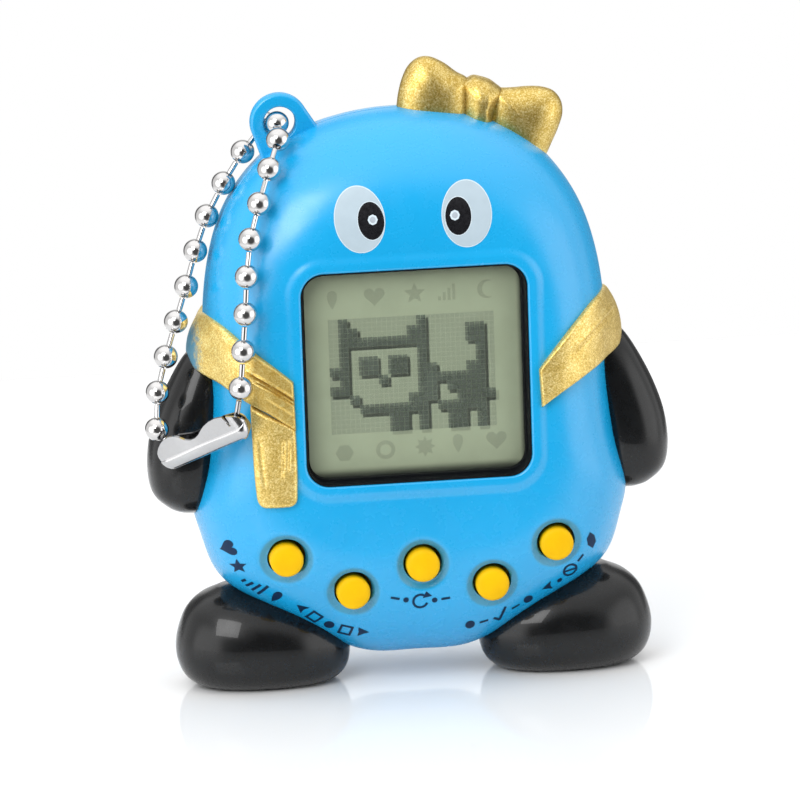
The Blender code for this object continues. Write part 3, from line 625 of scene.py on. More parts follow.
INSIDE = {
    "lcd_front_polariser": mottled("polariser_film", (0.37, 0.425, 0.30), (0.40, 0.50), 0.3, 0.04, 0.05),
    "lcd_glass_cell": mottled("cell_glass", (0.45, 0.50, 0.46), (0.05, 0.12), 0.5, 0.05, 0.02),
    "lcd_rear_reflector": mottled("reflector_film", (0.55, 0.57, 0.52), (0.3, 0.4), 2.0, 0.05, 0.1, Metallic=0.6),
    "zebra_connector": mottled("zebra_rubber", (0.30, 0.20, 0.21), (0.6, 0.75), 3.0, 0.3, 0.2),
    "keypad_mat": mottled("grey_silicone", (0.5, 0.5, 0.5), (0.55, 0.7), 2.0, 0.05, 0.2),
    "main_board": mottled("solder_mask", (0.02, 0.20, 0.07), (0.3, 0.5), 1.2, 0.35, 0.2),
    "chip_blob": mottled("epoxy", (0.012, 0.012, 0.014), (0.12, 0.25), 1.0, 0.3, 0.1),
    "capacitor": mottled("sleeve", (0.03, 0.03, 0.035), (0.3, 0.45), 1.0, 0.3, 0.1),
    "clock_crystal": STEEL,
    "buzzer_disc": BRASS,
    "cell_left": STEEL,
    "cell_right": STEEL,
    "contact_positive": STEEL,
    "contact_negative": STEEL,
    "contact_bridge": STEEL,
    "battery_door": BLUE,
    "door_screw": STEEL,
    "case_screw_upper_left": STEEL,
    "case_screw_upper_right": STEEL,
    "case_screw_lower_left": STEEL,
    "case_screw_lower_right": STEEL,
    "lcd_frame": MATTE,
}
for node, material in INSIDE.items():
    mesh = frame["nodes"][node].data
    mesh.materials.clear()
    mesh.materials.append(material)

# ---------------------------------------------------------------- front shell
AROUND = 400


def dish(x, z):
    """How deep the round dishes of the buttons are at (x, z)."""
    deep = np.zeros(np.shape(x))
    for name, (bx, bz) in BUTTONS.items():
        rho = np.hypot(x - bx, z - bz)
        deep = np.maximum(deep, 0.42 * (1 - smooth(2.15, 2.95, rho)))
    return deep


def front_skin():
    loops, ys = [], []
    plane = FRONT_DEPTH + 0.22

    def add(loop, y):
        loops.append(loop)
        ys.append(np.broadcast_to(np.asarray(y, float), (AROUND,)).copy())

    for y in (-6.4, -8.0, -9.4, -plane + 0.32):
        add(window_loop(0.0, AROUND), y)
    for t in (25, 50, 75, 90):
        t = math.radians(t)
        add(window_loop(0.3 * (1 - math.cos(t)), AROUND), -(plane - 0.3 + 0.3 * math.sin(t)))
    for d in (0.45, 0.65, 0.85):
        add(window_loop(d, AROUND), -plane)
    for d in np.linspace(0.95, 1.9, 12):
        loop = window_loop(d, AROUND)
        base = dome(loop[:, 0], loop[:, 1])
        k = smooth(0.75, 1.85, d)
        add(loop, -(plane * (1 - k) + (base + 0.0) * k))
    near = window_loop(1.9, AROUND)
    a = np.linspace(0, 2 * math.pi, AROUND + 1)[:-1]
    inner, edge = flat_radius(a, FRONT_FLAT), edge_radius(a)
    start = 0.42
    r = inner + (edge - inner) * start
    far = np.stack([r * np.cos(a), CENTRE_Z + r * np.sin(a)], -1)
    for t in np.linspace(0, 1, 42)[1:]:
        loop = near * (1 - t) + far * t
        add(loop, -(dome(loop[:, 0], loop[:, 1]) - dish(loop[:, 0], loop[:, 1])))
    for turn in np.linspace(math.asin(start), math.pi / 2, 34)[1:]:
        s = math.sin(turn)
        r = inner + (edge - inner) * s
        loop = np.stack([r * np.cos(a), CENTRE_Z + r * np.sin(a)], -1)
        y = -np.maximum(FRONT_DEPTH * fall(s) - dish(loop[:, 0], loop[:, 1]), 0.0)
        add(loop, np.minimum(y, -0.12))
    # a small lip at the parting line, then the wall turns in
    for shrink, y in ((0.12, -0.06), (1.7, -0.06), (1.8, -1.5)):
        r = edge - shrink
        add(np.stack([r * np.cos(a), CENTRE_Z + r * np.sin(a)], -1), y)
    return np.stack([np.stack([l[:, 0], y, l[:, 1]], -1) for l, y in zip(loops, ys)])


rings = front_skin()
shell = link("front_shell_skin", rings.reshape(-1, 3), grid_faces(len(rings), AROUND, flip=True), None)
# thickness is a closed inner wall a little way behind, so that the cuts have something to go through
back_wall = rings[:, :, :].copy()


def closed_shell(name, outer, inset):
    """Closes an open ring stack with a second, simpler stack inside it."""
    n = outer.shape[1]
    points = np.concatenate([outer.reshape(-1, 3), inset.reshape(-1, 3)])
    faces = grid_faces(len(outer), n)
    faces += grid_faces(len(inset), n, base=len(outer) * n)
    o_last, i_first = (len(outer) - 1) * n, len(outer) * n
    i_last, o_first = i_first + (len(inset) - 1) * n, 0
    for i in range(n):
        j = (i + 1) % n
        faces.append([o_last + i, o_last + j, i_first + j, i_first + i])
        faces.append([i_last + i, i_last + j, o_first + j, o_first + i])
    return outwards(link(name, points, faces, None))


bpy.data.objects.remove(shell, do_unlink=True)
a_all = np.linspace(0, 2 * math.pi, AROUND + 1)[:-1]
inset = []
for turn in np.radians([80, 60, 40, 20, 5]):
    inner, edge = flat_radius(a_all, FRONT_FLAT) - 0.6, edge_radius(a_all) - 1.8
    r = inner + (edge - inner) * math.sin(turn)
    inset.append(np.stack([r * np.cos(a_all), np.full(AROUND, -(FRONT_DEPTH - 1.8) * float(fall(math.sin(turn)))), CENTRE_Z + r * np.sin(a_all)], -1))
mid = window_loop(0.6, AROUND)
inset.append(np.stack([mid[:, 0], np.full(AROUND, -6.4), mid[:, 1]], -1))
front = closed_shell("front_shell_skin", rings, np.stack(inset))

holes = []
for name, (x, z) in BUTTONS.items():
    base = -float(dome(x, z)) + 0.42
    profile = [(-14.0, BUTTON_R + 0.55), (base - 0.1, BUTTON_R + 0.45), (base + 0.12, BUTTON_R + 0.30), (base + 0.3, BUTTON_R + 0.26), (-2.5, BUTTON_R + 0.26)]
    hole = lathe("hole_" + name, profile, 56, axis=(0, 1, 0), centre=(x + 0.06, 0, z + 0.06))
    cutter(front, hole)
    holes.append(hole)
settle(front, holes, 32)
piece(front, BLUE_FRONT, "case", ["front_shell"])


# ---------------------------------------------------------------- back shell
def back_skin():
    rings = []
    a = a_all
    flat = flat_radius(a, BACK_FLAT)
    for k in (0.02, 0.25, 0.5, 0.72, 0.88, 0.96):
        r = flat * k
        rings.append(np.stack([r * np.cos(a), np.full(AROUND, BACK_DEPTH), CENTRE_Z + r * np.sin(a)], -1))
    rings += ring_dome(BACK_DEPTH, BACK_FLAT, 1, np.linspace(0, math.pi / 2, 36), AROUND)
    rings[-1][:, 1] = 0.12
    for shrink, y in ((0.12, 0.06), (1.6, 0.06)):
        r = edge_radius(a) - shrink
        rings.append(np.stack([r * np.cos(a), np.full(AROUND, y), CENTRE_Z + r * np.sin(a)], -1))
    inner, edge = flat_radius(a, BACK_FLAT) - 0.6, edge_radius(a) - 1.6
    for turn in np.radians([80, 60, 40, 20, 5]):
        r = inner + (edge - inner) * math.sin(turn)
        rings.append(np.stack([r * np.cos(a), np.full(AROUND, (BACK_DEPTH - 1.6) * float(fall(math.sin(turn)))), CENTRE_Z + r * np.sin(a)], -1))
    for k in (0.6, 0.02):
        r = flat * k
        rings.append(np.stack([r * np.cos(a), np.full(AROUND, BACK_DEPTH - 1.6), CENTRE_Z + r * np.sin(a)], -1))
    return rings


def box_object(name, low, high):
    x0, y0, z0 = low
    x1, y1, z1 = high
    p = [(x0, y0, z0), (x1, y0, z0), (x1, y1, z0), (x0, y1, z0), (x0, y0, z1), (x1, y0, z1), (x1, y1, z1), (x0, y1, z1)]
    f = [[0, 3, 2, 1], [4, 5, 6, 7], [0, 1, 5, 4], [1, 2, 6, 5], [2, 3, 7, 6], [3, 0, 4, 7]]
    return link(name, p, f)


def prism(name, points, y0, y1):
    return rings_object(name, [np.array([(x, y, z) for x, z in points]) for y in (y0, y1)])


def rounded_polygon(points, radius, steps=6):
    """Rounds each corner of a polygon in X and Z."""
    out = []
    n = len(points)
    for i in range(n):
        a, b, c = (np.array(points[(i + k) % n], float) for k in (-1, 0, 1))
        u, v = a - b, c - b
        lu, lv = np.linalg.norm(u), np.linalg.norm(v)
        u, v = u / lu, v / lv
        half = math.acos(max(-1, min(1, float(u @ v)))) / 2
        cut = min(radius / math.tan(half), 0.48 * lu, 0.48 * lv)
        r = cut * math.tan(half)
        centre = b + (u + v) / np.linalg.norm(u + v) * r / math.sin(half)
        p0, p1 = b + u * cut - centre, b + v * cut - centre
        a0, a1 = math.atan2(p0[1], p0[0]), math.atan2(p1[1], p1[0])
        while a1 - a0 > math.pi:
            a1 -= 2 * math.pi
        while a1 - a0 < -math.pi:
            a1 += 2 * math.pi
        for k in range(steps + 1):
            t = a0 + (a1 - a0) * k / steps
            out.append((centre[0] + r * math.cos(t), centre[1] + r * math.sin(t)))
    return out


def door_outline(grow):
    a, (lo, hi), (lug, top) = DOOR_HALF + grow, DOOR_Z, DOOR_LUG
    lo, hi, lug, top = lo - grow, hi + grow, lug + grow, top + grow
    right = [(a, lo), (a, hi), (lug, hi), (lug, top)]
    return rounded_polygon(right + [(-x, z) for x, z in right[::-1]], 1.2)


back = rings_object("back_shell_skin", back_skin(), sharp=None)
helpers = []
door_seat = prism("door_seat", door_outline(0.22), 8.1, 12)
tray = box_object("tray", (-14.2, 0.2, 12.2), (14.2, 8.05, 27.4))
pocket = box_object("pocket", (-13.1, 1.0, 13.3), (13.1, 11.0, 26.3))
cutter(back, tray, "UNION")
cutter(back, door_seat)
cutter(back, pocket)
helpers += [door_seat, tray, pocket]
for i, (x, z) in enumerate(CASE_SCREWS):
    top = float(dome(x, z, BACK_DEPTH, BACK_FLAT))
    hole = lathe("screw_hole_%d" % i, [(4.0, 1.85), (top - 0.18, 1.85), (top + 0.1, 2.15), (13, 2.2)], 48, axis=(0, 1, 0), centre=(x, 0, z))
    tube = lathe("screw_tube_%d" % i, [(0.45, 2.6), (8.0, 2.6)], 40, axis=(0, 1, 0), centre=(x, 0, z))
    cutter(back, tube, "UNION")
    cutter(back, hole)
    helpers += [hole, tube]
lug_hole = lathe("lug_hole", [(4.0, 0.95), (8.6, 0.95)], 32, axis=(0, 1, 0), centre=(DOOR_SCREW[0], 0, DOOR_SCREW[1]))
cutter(back, lug_hole)
helpers.append(lug_hole)
for k in range(7):
    a, r = math.pi / 3 * k, 2.6 if k < 6 else 0.0
    hole = lathe("sound_%d" % k, [(6.0, 0.55), (BACK_DEPTH - 0.12, 0.55), (BACK_DEPTH + 0.08, 0.75), (12, 0.75)], 28, axis=(0, 1, 0), centre=(r * math.cos(a), 0, 47.0 + r * math.sin(a)))
    cutter(back, hole)
    helpers.append(hole)
settle(back, helpers, 32)
piece(back, BLUE, "case", ["back_shell"])


# ---------------------------------------------------------------- ear ring
def ear_reach(grow):
    """Half chord of the tab's outline about the ring centre: a disc drawn out to the feet."""
    out = []
    r = EAR_R + grow
    c = np.array(EAR)
    feet = np.array(EAR_FEET)
    for k in range(144):
        a = 2 * math.pi * k / 144
        d = np.array([math.cos(a), math.sin(a)])
        best = r
        # support line test against the hull of the disc and the feet
        for f, g in ((0, 1),):
            p, q = feet[f] - c, feet[g] - c
            m = np.array([[d[0], p[0] - q[0]], [d[1], p[1] - q[1]]])
            if abs(np.linalg.det(m)) > 1e-9:
                t, w = np.linalg.solve(m, p)
                if t > 0 and 0 <= w <= 1:
                    best = max(best, t)
        for f, turn in ((0, 1), (1, -1)):
            p = feet[f] - c
            far = math.hypot(*p)
            base = math.atan2(p[1], p[0]) + turn * math.acos(r / far)
            touch = r * np.array([math.cos(base), math.sin(base)])
            m = np.array([[d[0], touch[0] - p[0]], [d[1], touch[1] - p[1]]])
            if abs(np.linalg.det(m)) > 1e-9:
                t, w = np.linalg.solve(m, touch)
                if t > 0 and 0 <= w <= 1:
                    best = max(best, t)
        out.append(best)
    return np.array(out)


def ear(name, side):
    n = 144
    a = 2 * math.pi * np.arange(n) / n

    def loop(reach, y):
        return np.stack([EAR[0] + reach * np.cos(a), np.full(n, y), EAR[1] + reach * np.sin(a)], -1)

    full = ear_reach(0.0)
    y_in, y_out = side * 0.06, side * EAR_HALF
    rings = [loop(full - 0.08, y_in), loop(full, side * 0.14), loop(full, y_out - side * 0.36)]
    for t in (20, 40, 60, 80, 90):
        t = math.radians(t)
        rings.append(loop(full - 0.36 * (1 - math.cos(t)), y_out - side * 0.36 * (1 - math.sin(t))))
    for k in (0.6, 0.3):
        rings.append(loop((full - 0.36) * k + (EAR_HOLE_R + 0.2) * (1 - k), y_out))
    for t in (0, 30, 60, 90):
        t = math.radians(t)
        rings.append(loop(np.full(n, EAR_HOLE_R + 0.2 * (1 - math.sin(t))), y_out - side * 0.2 * (1 - math.cos(t))))
    rings.append(loop(np.full(n, EAR_HOLE_R), y_in))
    faces = grid_faces(len(rings), n)
    last = (len(rings) - 1) * n
    for i in range(n):
        j = (i + 1) % n
        faces.append([last + i, last + j, j, i])
    return outwards(link(name, np.vstack(rings), faces, 40))


piece(ear("ear_ring_front", -1), BLUE, "case", ())
piece(ear("ear_ring_back", 1), BLUE, "case", ())


# ---------------------------------------------------------------- case surface for things that lie on it
def on_case(p, height=0.0):
    """Moves points onto the case surface and height out along its normal."""
    p = np.asarray(p, float)
    x, y, z = p[..., 0], p[..., 1], p[..., 2]
    a = np.arctan2(z - CENTRE_Z, x)
    r = np.hypot(x, z - CENTRE_Z)
    edge = edge_radius(a)
    inner = np.where(y < 0, flat_radius(a, FRONT_FLAT), flat_radius(a, BACK_FLAT))
    depth = np.where(y < 0, FRONT_DEPTH, BACK_DEPTH)
    s = np.maximum((r - inner) / (edge - inner), 0.0)
    k = np.abs(y) / depth
    size = (s**FALL + k**2)
    # walk to the surface s^F + k^2 = 1 by scaling both
    f = np.ones_like(size)
    for _ in range(12):
        g = (s * f) ** FALL + (k * f) ** 2 - 1
        dg = FALL * s**FALL * f ** (FALL - 1) + 2 * k**2 * f + 1e-12
        f = np.clip(f - g / dg, 0.05, 20)
    s2, k2 = s * f, k * f
    flatten = s <= 1e-9
    s2 = np.where(flatten, (r - inner) / (edge - inner), s2)
    k2 = np.where(flatten, 1.0, np.minimum(k2, 1.0))
    r2 = inner + (edge - inner) * s2
    q = np.stack([r2 * np.cos(a), np.sign(y) * k2 * depth, CENTRE_Z + r2 * np.sin(a)], -1)
    n = case_normal(q)
    return q + n * np.asarray(height, float)[..., None]


def case_level(p):
    x, y, z = p[..., 0], p[..., 1], p[..., 2]
    a = np.arctan2(z - CENTRE_Z, x)
    r = np.hypot(x, z - CENTRE_Z)
    edge = edge_radius(a)
    inner = np.where(y < 0, flat_radius(a, FRONT_FLAT), flat_radius(a, BACK_FLAT))
    depth = np.where(y < 0, FRONT_DEPTH, BACK_DEPTH)
    s = np.maximum((r - inner) / (edge - inner), 0.0)
    return s**FALL + (np.abs(y) / depth) ** 2


def case_normal(p):
    e = 0.05
    g = np.stack([
        case_level(p + np.array([e, 0, 0])) - case_level(p - np.array([e, 0, 0])),
        case_level(p + np.array([0, e, 0])) - case_level(p - np.array([0, e, 0])),
        case_level(p + np.array([0, 0, e])) - case_level(p - np.array([0, 0, e]))], -1)
    return g / np.maximum(np.linalg.norm(g, axis=-1, keepdims=True), 1e-9)


def sheet_solid(name, top, bottom, sharp=50):
    """A closed solid between two grids of the same shape (rows, cols, 3)."""
    rows, cols = top.shape[:2]
    points = np.concatenate([top.reshape(-1, 3), bottom.reshape(-1, 3)])
    n = rows * cols
    faces = grid_faces(rows, cols, wrap=False) + grid_faces(rows, cols, wrap=False, base=n, flip=True)
    rim = [j for j in range(cols)] + [i * cols + cols - 1 for i in range(1, rows)]
    rim += [(rows - 1) * cols + j for j in range(cols - 2, -1, -1)] + [i * cols for i in range(rows - 2, 0, -1)]
    for a, b in zip(rim, rim[1:] + rim[:1]):
        faces.append([a, a + n, b + n, b])
    return outwards(link(name, points, faces, sharp))


def rounded_profile(width, radius, inner, count=5):
    """Positions from 0 to width with the height share at each, rounded at both ends."""
    t = np.linspace(0, math.pi / 2, count)
    head = [(0.0, 0.0)] + [(radius * (1 - math.cos(a)), 0.35 + 0.65 * math.sin(a)) for a in t]
    body = [(p, 1.0) for p in np.linspace(radius, width - radius, inner)[1:-1]]
    tail = [(width - p, h) for p, h in head[::-1]]
    return head + body + tail


def band(name, upper, lower, thick, grooves=(), rows=120, round_start=True, round_end=True, folds=None, radius=0.35, drape=None, tip=0.0):
    """A raised strip on the case between two edge curves.

    upper and lower are lists of points near the case surface, thick is a
    function of the share along, grooves are (share across at start, at end,
    first and last share along, depth, width).
    """
    length = 0.5 * (polyline_length(upper) + polyline_length(lower))
    along = rounded_profile(length, radius, rows)
    if not round_start:
        along = [(0.0, 1.0)] + [p for p in along if p[0] > radius * 1.01]
    if not round_end:
        along = [p for p in along if p[0] < length - radius * 1.01] + [(length, 1.0)]
    t = np.array([p for p, _ in along]) / length
    e_along = np.array([h for _, h in along])
    up = curve(upper, 400)
    low = curve(lower, 400)
    width = float(np.mean(np.linalg.norm(up - low, axis=1)))
    across = rounded_profile(width, radius, 36)
    v = np.array([p for p, _ in across]) / width
    e_across = np.array([h for _, h in across])
    where = np.linspace(0, 1, 400)
    pu = np.stack([np.interp(t, where, up[:, k]) for k in range(3)], -1)
    pl = np.stack([np.interp(t, where, low[:, k]) for k in range(3)], -1)
    v2 = np.broadcast_to(v[None], (len(t), len(v)))
    if tip:
        # the far end has rounded corners
        left_over = np.clip((1 - t) * length, 0, tip)
        cut = (tip - np.sqrt(tip**2 - (tip - left_over) ** 2)) / width
        v2 = cut[:, None] + v[None] * (1 - 2 * cut[:, None])
    base = pu[:, None] * (1 - v2[..., None]) + pl[:, None] * v2[..., None]
    tt, vv = np.broadcast_to(t[:, None], base.shape[:2]), np.broadcast_to(v[None], base.shape[:2])
    height = thick(tt) * e_along[:, None] * e_across[None]
    if drape is not None:
        share = drape(tt)
        height = height * ((1 - share) + share * (0.16 + 0.84 * (1 - (1 - vv) ** 2.2)))
    # a soft crown across the strip
    height = height + 0.10 * (1 - (2 * vv - 1) ** 2) * e_along[:, None] * e_across[None]
    for v0, v1, t0, t1, deep, wide in grooves:
        centre = v0 + (v1 - v0) * np.clip((tt - t0) / (t1 - t0), 0, 1)
        fade = smooth(t0 - 0.02, t0 + 0.06, tt) * (1 - smooth(t1 - 0.10, t1 + 0.02, tt))
        gap = (vv - centre) * width
        height = height - deep * fade * np.exp(-((gap / wide) ** 2)) + 0.35 * deep * fade * np.exp(-(((gap + 1.9 * wide) / (1.3 * wide)) ** 2))
    if folds is not None:
        height = height + folds(tt, vv) * e_along[:, None] * e_across[None]
    top = on_case(base, height)
    bottom = on_case(base, np.full(base.shape[:2], -0.5))
    return sheet_solid(name, top, bottom)


def polyline_length(points):
    p = np.asarray(points, float)
    return float(np.linalg.norm(np.diff(p, axis=0), axis=1).sum())


def front_point(x, z):
    return (x, -float(dome(x, z)), z)


RIM = lambda x, z: (x, -0.01, z)

# right band: from beside the window, up over the shoulder to the parting line and round the back
thick_side = lambda t: 0.72 + 1.15 * smooth(0.5, 0.82, t)
side_drape = lambda t: smooth(0.42, 0.72, t)
right_up = [front_point(*p) for p in ((12.72, 34.4), (14.52, 36.6), (16.44, 38.7), (18.5, 40.45))] + [(20.1, -5.5, 41.1), (21.0, -0.4, 40.9), (21.1, 3.0, 40.0)]
right_low = [front_point(*p) for p in ((12.92, 30.35), (15.14, 31.9), (17.69, 33.3), (19.9, 34.1))] + [(20.9, -4.2, 34.3), (21.2, -0.4, 34.8), (21.3, 3.0, 34.8)]
right = band("scarf_right_band_skin", right_up, right_low, thick_side, grooves=((0.40, 0.36, 0.22, 0.72, 0.30, 0.20),), rows=150, round_end=False, drape=side_drape)
piece(right, GOLD, "case", ["scarf_right_band"])

left_up = [front_point(*p) for p in ((-12.9, 34.6), (-14.88, 36.3), (-16.65, 37.68), (-18.97, 39.6))] + [(-20.2, -5.5, 40.3), (-20.9, -0.4, 40.2), (-21.0, 3.0, 39.5)]
left_low = [front_point(*p) for p in ((-12.8, 29.35), (-15.47, 31.3), (-17.12, 32.23), (-19.39, 33.7))] + [(-20.7, -4.4, 34.2), (-21.2, -0.4, 34.9), (-21.3, 3.0, 34.8)]
left = band("scarf_left_band_skin", left_up, left_low, thick_side, grooves=((0.38, 0.42, -0.03, 0.34, 0.42, 0.13), (0.46, 0.51, -0.03, 0.36, 0.28, 0.12), (0.72, 0.74, 0.0, 0.2, 0.10, 0.2)), rows=150, round_end=False, drape=side_drape)
piece(left, GOLD_LEFT_LIT, "case", ["scarf_left_band"])

tail_left = [front_point(*p) for p in ((-17.2, 32.2), (-17.17, 28.6), (-17.15, 25.4), (-16.9, 21.3))]
tail_right = [front_point(*p) for p in ((-12.85, 29.6), (-12.8, 26.5), (-12.85, 23.5), (-12.95, 21.35))]
tail = band("scarf_tail_skin", tail_left, tail_right, lambda t: 0.60 + 0 * t, grooves=((0.70, 0.64, 0.20, 0.72, 0.12, 0.14), (0.84, 0.79, 0.16, 0.6, 0.14, 0.11), (0.2, 0.24, 0.3, 0.8, 0.06, 0.2)), rows=90, radius=0.4, tip=1.0)
piece(tail, GOLD, "case", ["scarf_tail"])

back_up = [(21.1, 2.6, 40.1), (20.3, 6.5, 39.9), (15.0, 9.5, 41.0), (0.0, 9.5, 41.2), (-15.0, 9.5, 41.0), (-20.3, 6.5, 39.2), (-21.0, 2.6, 39.6)]
back_low = [(21.3, 2.6, 34.8), (20.5, 6.5, 35.1), (15.0, 9.5, 35.8), (0.0, 9.5, 36.2), (-15.0, 9.5, 35.8), (-20.5, 6.5, 35.1), (-21.3, 2.6, 34.8)]
ends_of_back = lambda t: 1 - smooth(0.0, 0.16, t) * (1 - smooth(0.84, 1.0, t))
rear = band("scarf_back_band_skin", back_up, back_low, lambda t: 0.72 + 1.15 * ends_of_back(t), grooves=((0.36, 0.40, 0.08, 0.5, 0.25, 0.22), (0.66, 0.62, 0.45, 0.95, 0.25, 0.22)), rows=220, round_start=False, round_end=False, drape=ends_of_back)
piece(rear, GOLD, "case", ["scarf_back_band"])


# ---------------------------------------------------------------- flippers and feet
FLIPPER = (
    (18.95, 24.3, 22.2, 1.0), (19.6, 25.6, 21.0, 2.5), (21.2, 27.15, 20.0, 3.9),
    (23.5, 27.6, 19.4, 4.5), (26.8, 27.3, 19.2, 4.6), (30.0, 26.3, 18.8, 4.2),
    (33.0, 24.9, 18.4, 3.5), (35.2, 23.6, 18.2, 2.6), (36.6, 22.5, 18.6, 1.3),
)
FOOT = (
    (0.0, 15.8, 5.9, 3.6), (0.35, 15.9, 7.4, 4.8), (1.4, 16.0, 8.6, 5.9),
    (3.0, 16.1, 9.15, 6.5), (4.6, 16.2, 9.15, 6.6), (6.3, 16.4, 8.6, 6.3),
    (8.2, 17.0, 7.2, 5.3), (9.7, 17.7, 5.0, 3.8), (10.7, 18.2, 2.4, 1.9),
)


def squircle(cx, cz, hx, hy, n=96, power=2.3):
    a = np.linspace(0, 2 * math.pi, n + 1)[:-1]
    c, s = np.cos(a), np.sin(a)
    return np.stack([cx + hx * np.sign(c) * np.abs(c) ** (2 / power), hy * np.sign(s) * np.abs(s) ** (2 / power), np.full(n, cz)], -1)


for label, sign in (("left", -1), ("right", 1)):
    rows = curve(FLIPPER, 48)
    rings = [squircle(sign * (p[1] + p[2]) / 2, p[0], max(0.05, (p[1] - p[2]) / 2), max(0.05, p[3])) for p in rows if p[0] < 36.2]
    flipper = rings_object(label + "_flipper_skin", rings, sharp=None)
    piece(flipper, BLACK, "case", [label + "_flipper"])
    rows = curve(FOOT, 48)
    rings = [squircle(sign * p[1], max(0.0, p[0]), max(0.05, p[2]), max(0.05, p[3])) for p in rows]
    foot = rings_object(label + "_foot_skin", rings, sharp=None)
    piece(foot, BLACK, "case", [label + "_foot"])


# ---------------------------------------------------------------- bow
def pillow(name, outline, centre, profile, count=128, dishing=None):
    """A rounded slab from its outline in X and Z and a profile of (scale, y)."""
    loop = curve(outline, count, closed=True)
    c = np.array(centre, float)
    rings = []
    for k, y in profile:
        q = c + (loop - c) * k
        yy = np.full(count, float(y))
        if dishing is not None:
            yy = yy + dishing(q[:, 0], q[:, 1], k) * (1 if y > 0 else -1)
        rings.append(np.stack([q[:, 0], yy, q[:, 1]], -1))
    return rings_object(name, rings, sharp=None)


def pillow_profile(deep, power=2.3, shift=0.0):
    """Front to back: a face that swells out from rim to middle, and the same behind."""
    side = [(float(k), deep * (1 - float(k) ** power) ** 0.52) for k in np.linspace(0.02, 0.88, 20)]
    side += [(k, deep * (1 - k**power) ** 0.52) for k in (0.91, 0.94, 0.965, 0.985, 0.996)] + [(1.0, 0.0)]
    front = [(k, -y + shift) for k, y in side]
    rear = [(k, y + shift) for k, y in side[::-1][1:]]
    return front + rear


def knot_facets(x, z, k):
    """The knot has a darker left facet and a right one that turns away, with a crease between."""
    d = x - (9.35 + (z - 61.0) * 0.14)
    return -(0.12 * np.maximum(-d, 0) + 0.42 * np.maximum(d, 0)) * (1 - float(smooth(0.5, 1.0, k)))


left_lobe = [(-0.25, 59.2), (0.0, 60.6), (0.25, 62.2), (0.75, 63.9), (1.45, 65.15), (2.5, 65.9), (3.6, 65.95), (5.08, 65.25), (6.41, 64.2), (7.6, 63.4), (8.1, 61.4), (7.6, 58.4), (6.0, 56.6), (3.5, 56.4), (0.8, 57.0)]
right_lobe = [(9.9, 62.5), (11.0, 62.25), (12.3, 62.2), (13.9, 62.25), (15.4, 62.1), (16.6, 61.6), (17.35, 60.5), (17.45, 59.2), (17.0, 57.8), (16.3, 56.3), (15.4, 54.6), (14.0, 53.2), (12.0, 54.2), (10.2, 56.6), (9.4, 59.4)]
knot = [(6.95, 63.25), (7.5, 63.45), (8.18, 63.72), (9.0, 63.55), (9.9, 63.2), (10.6, 62.65), (11.1, 62.15), (10.95, 61.3), (10.55, 60.4), (10.1, 59.4), (9.8, 57.6), (8.6, 56.8), (7.1, 57.2), (6.7, 59.5), (6.75, 61.6)]
lobe_a = pillow("bow_left_lobe", left_lobe, (4.1, 61.6), pillow_profile(2.3, shift=0.5))
lobe_b = pillow("bow_right_lobe", right_lobe, (13.5, 58.6), pillow_profile(2.3, shift=0.5))
middle = pillow("bow_knot", knot, (8.8, 60.8), pillow_profile(2.85, shift=0.5), dishing=knot_facets)
bow = joined("bow_skin", [lobe_a, lobe_b, middle], None)
piece(bow, GOLD_BOW_SHADED, "case", ["bow"])


# ---------------------------------------------------------------- buttons
for name, (x, z) in BUTTONS.items():
    top = -float(dome(x, z)) - BUTTON_PROUD
    profile = [(0.0, 0.0), (0.015, 0.4), (0.06, 0.85), (0.12, 1.15)]
    for t in (15, 35, 55, 75, 90):
        t = math.radians(t)
        profile.append((0.15 + 0.45 * (1 - math.cos(t)), 1.25 + 0.5 * math.sin(t)))
    profile += [(1.6, BUTTON_R), (-6.2 - top, BUTTON_R + 0.02), (-6.2 - top, 2.4), (-5.7 - top, 2.4)]
    cap = lathe("button_%s_cap" % name, profile, 64, axis=(0, 1, 0), centre=(x, top, z), sharp=50)
    piece(cap, YELLOW, "key_" + name, ["button_" + name])


# ---------------------------------------------------------------- printed eyes
def decal(name, x, z, lift=0.03, faces=None, material=None):
    """A thin printed patch: x and z are grids, laid on the front of the case."""
    y = -(dome(x, z) - dish(x, z)) - lift
    points = np.stack([x, y, z], -1).reshape(-1, 3)
    obj = link(name, points, faces, None)
    return piece(obj, material, "case", ())


def oval(name, cx, cz, hx, hz, lean, lift, material, rings=14, around=96, inner=0.0):
    a = np.linspace(0, 2 * math.pi, around + 1)[:-1]
    k = np.linspace(max(inner, 0.02), 1, rings)
    u, v = hx * k[:, None] * np.cos(a)[None], hz * k[:, None] * np.sin(a)[None]
    c, s = math.cos(lean), math.sin(lean)
    x, z = cx + u * c + v * s, cz - u * s + v * c
    faces = grid_faces(rings, around)
    if inner <= 0:
        faces.append(list(range(around))[::-1])
    return decal(name, x, z, lift, faces, material)


for label, cx, lean, px, dx in (("left", -5.27, -0.09, -4.2, -4.03), ("right", 5.86, 0.02, 4.86, 4.5)):
    ex = cx - 0.1
    oval("eye_%s_rim" % label, ex, 51.15, 2.64, 3.42, lean, 0.02, INK_RIM)
    oval("eye_%s_white" % label, ex, 51.15, 2.54, 3.32, lean, 0.035, INK_WHITE)
    oval("eye_%s_pupil_rim" % label, px, 51.0, 1.44, 2.02, lean, 0.045, INK_RIM)
    oval("eye_%s_pupil" % label, px, 51.0, 1.35, 1.93, lean, 0.06, INK_BLACK)
    oval("eye_%s_glint_rim" % label, dx, 51.12, 0.52, 0.54, 0, 0.075, INK_RIM, around=8)
    oval("eye_%s_glint" % label, dx, 51.12, 0.30, 0.31, 0, 0.09, INK_GREY)


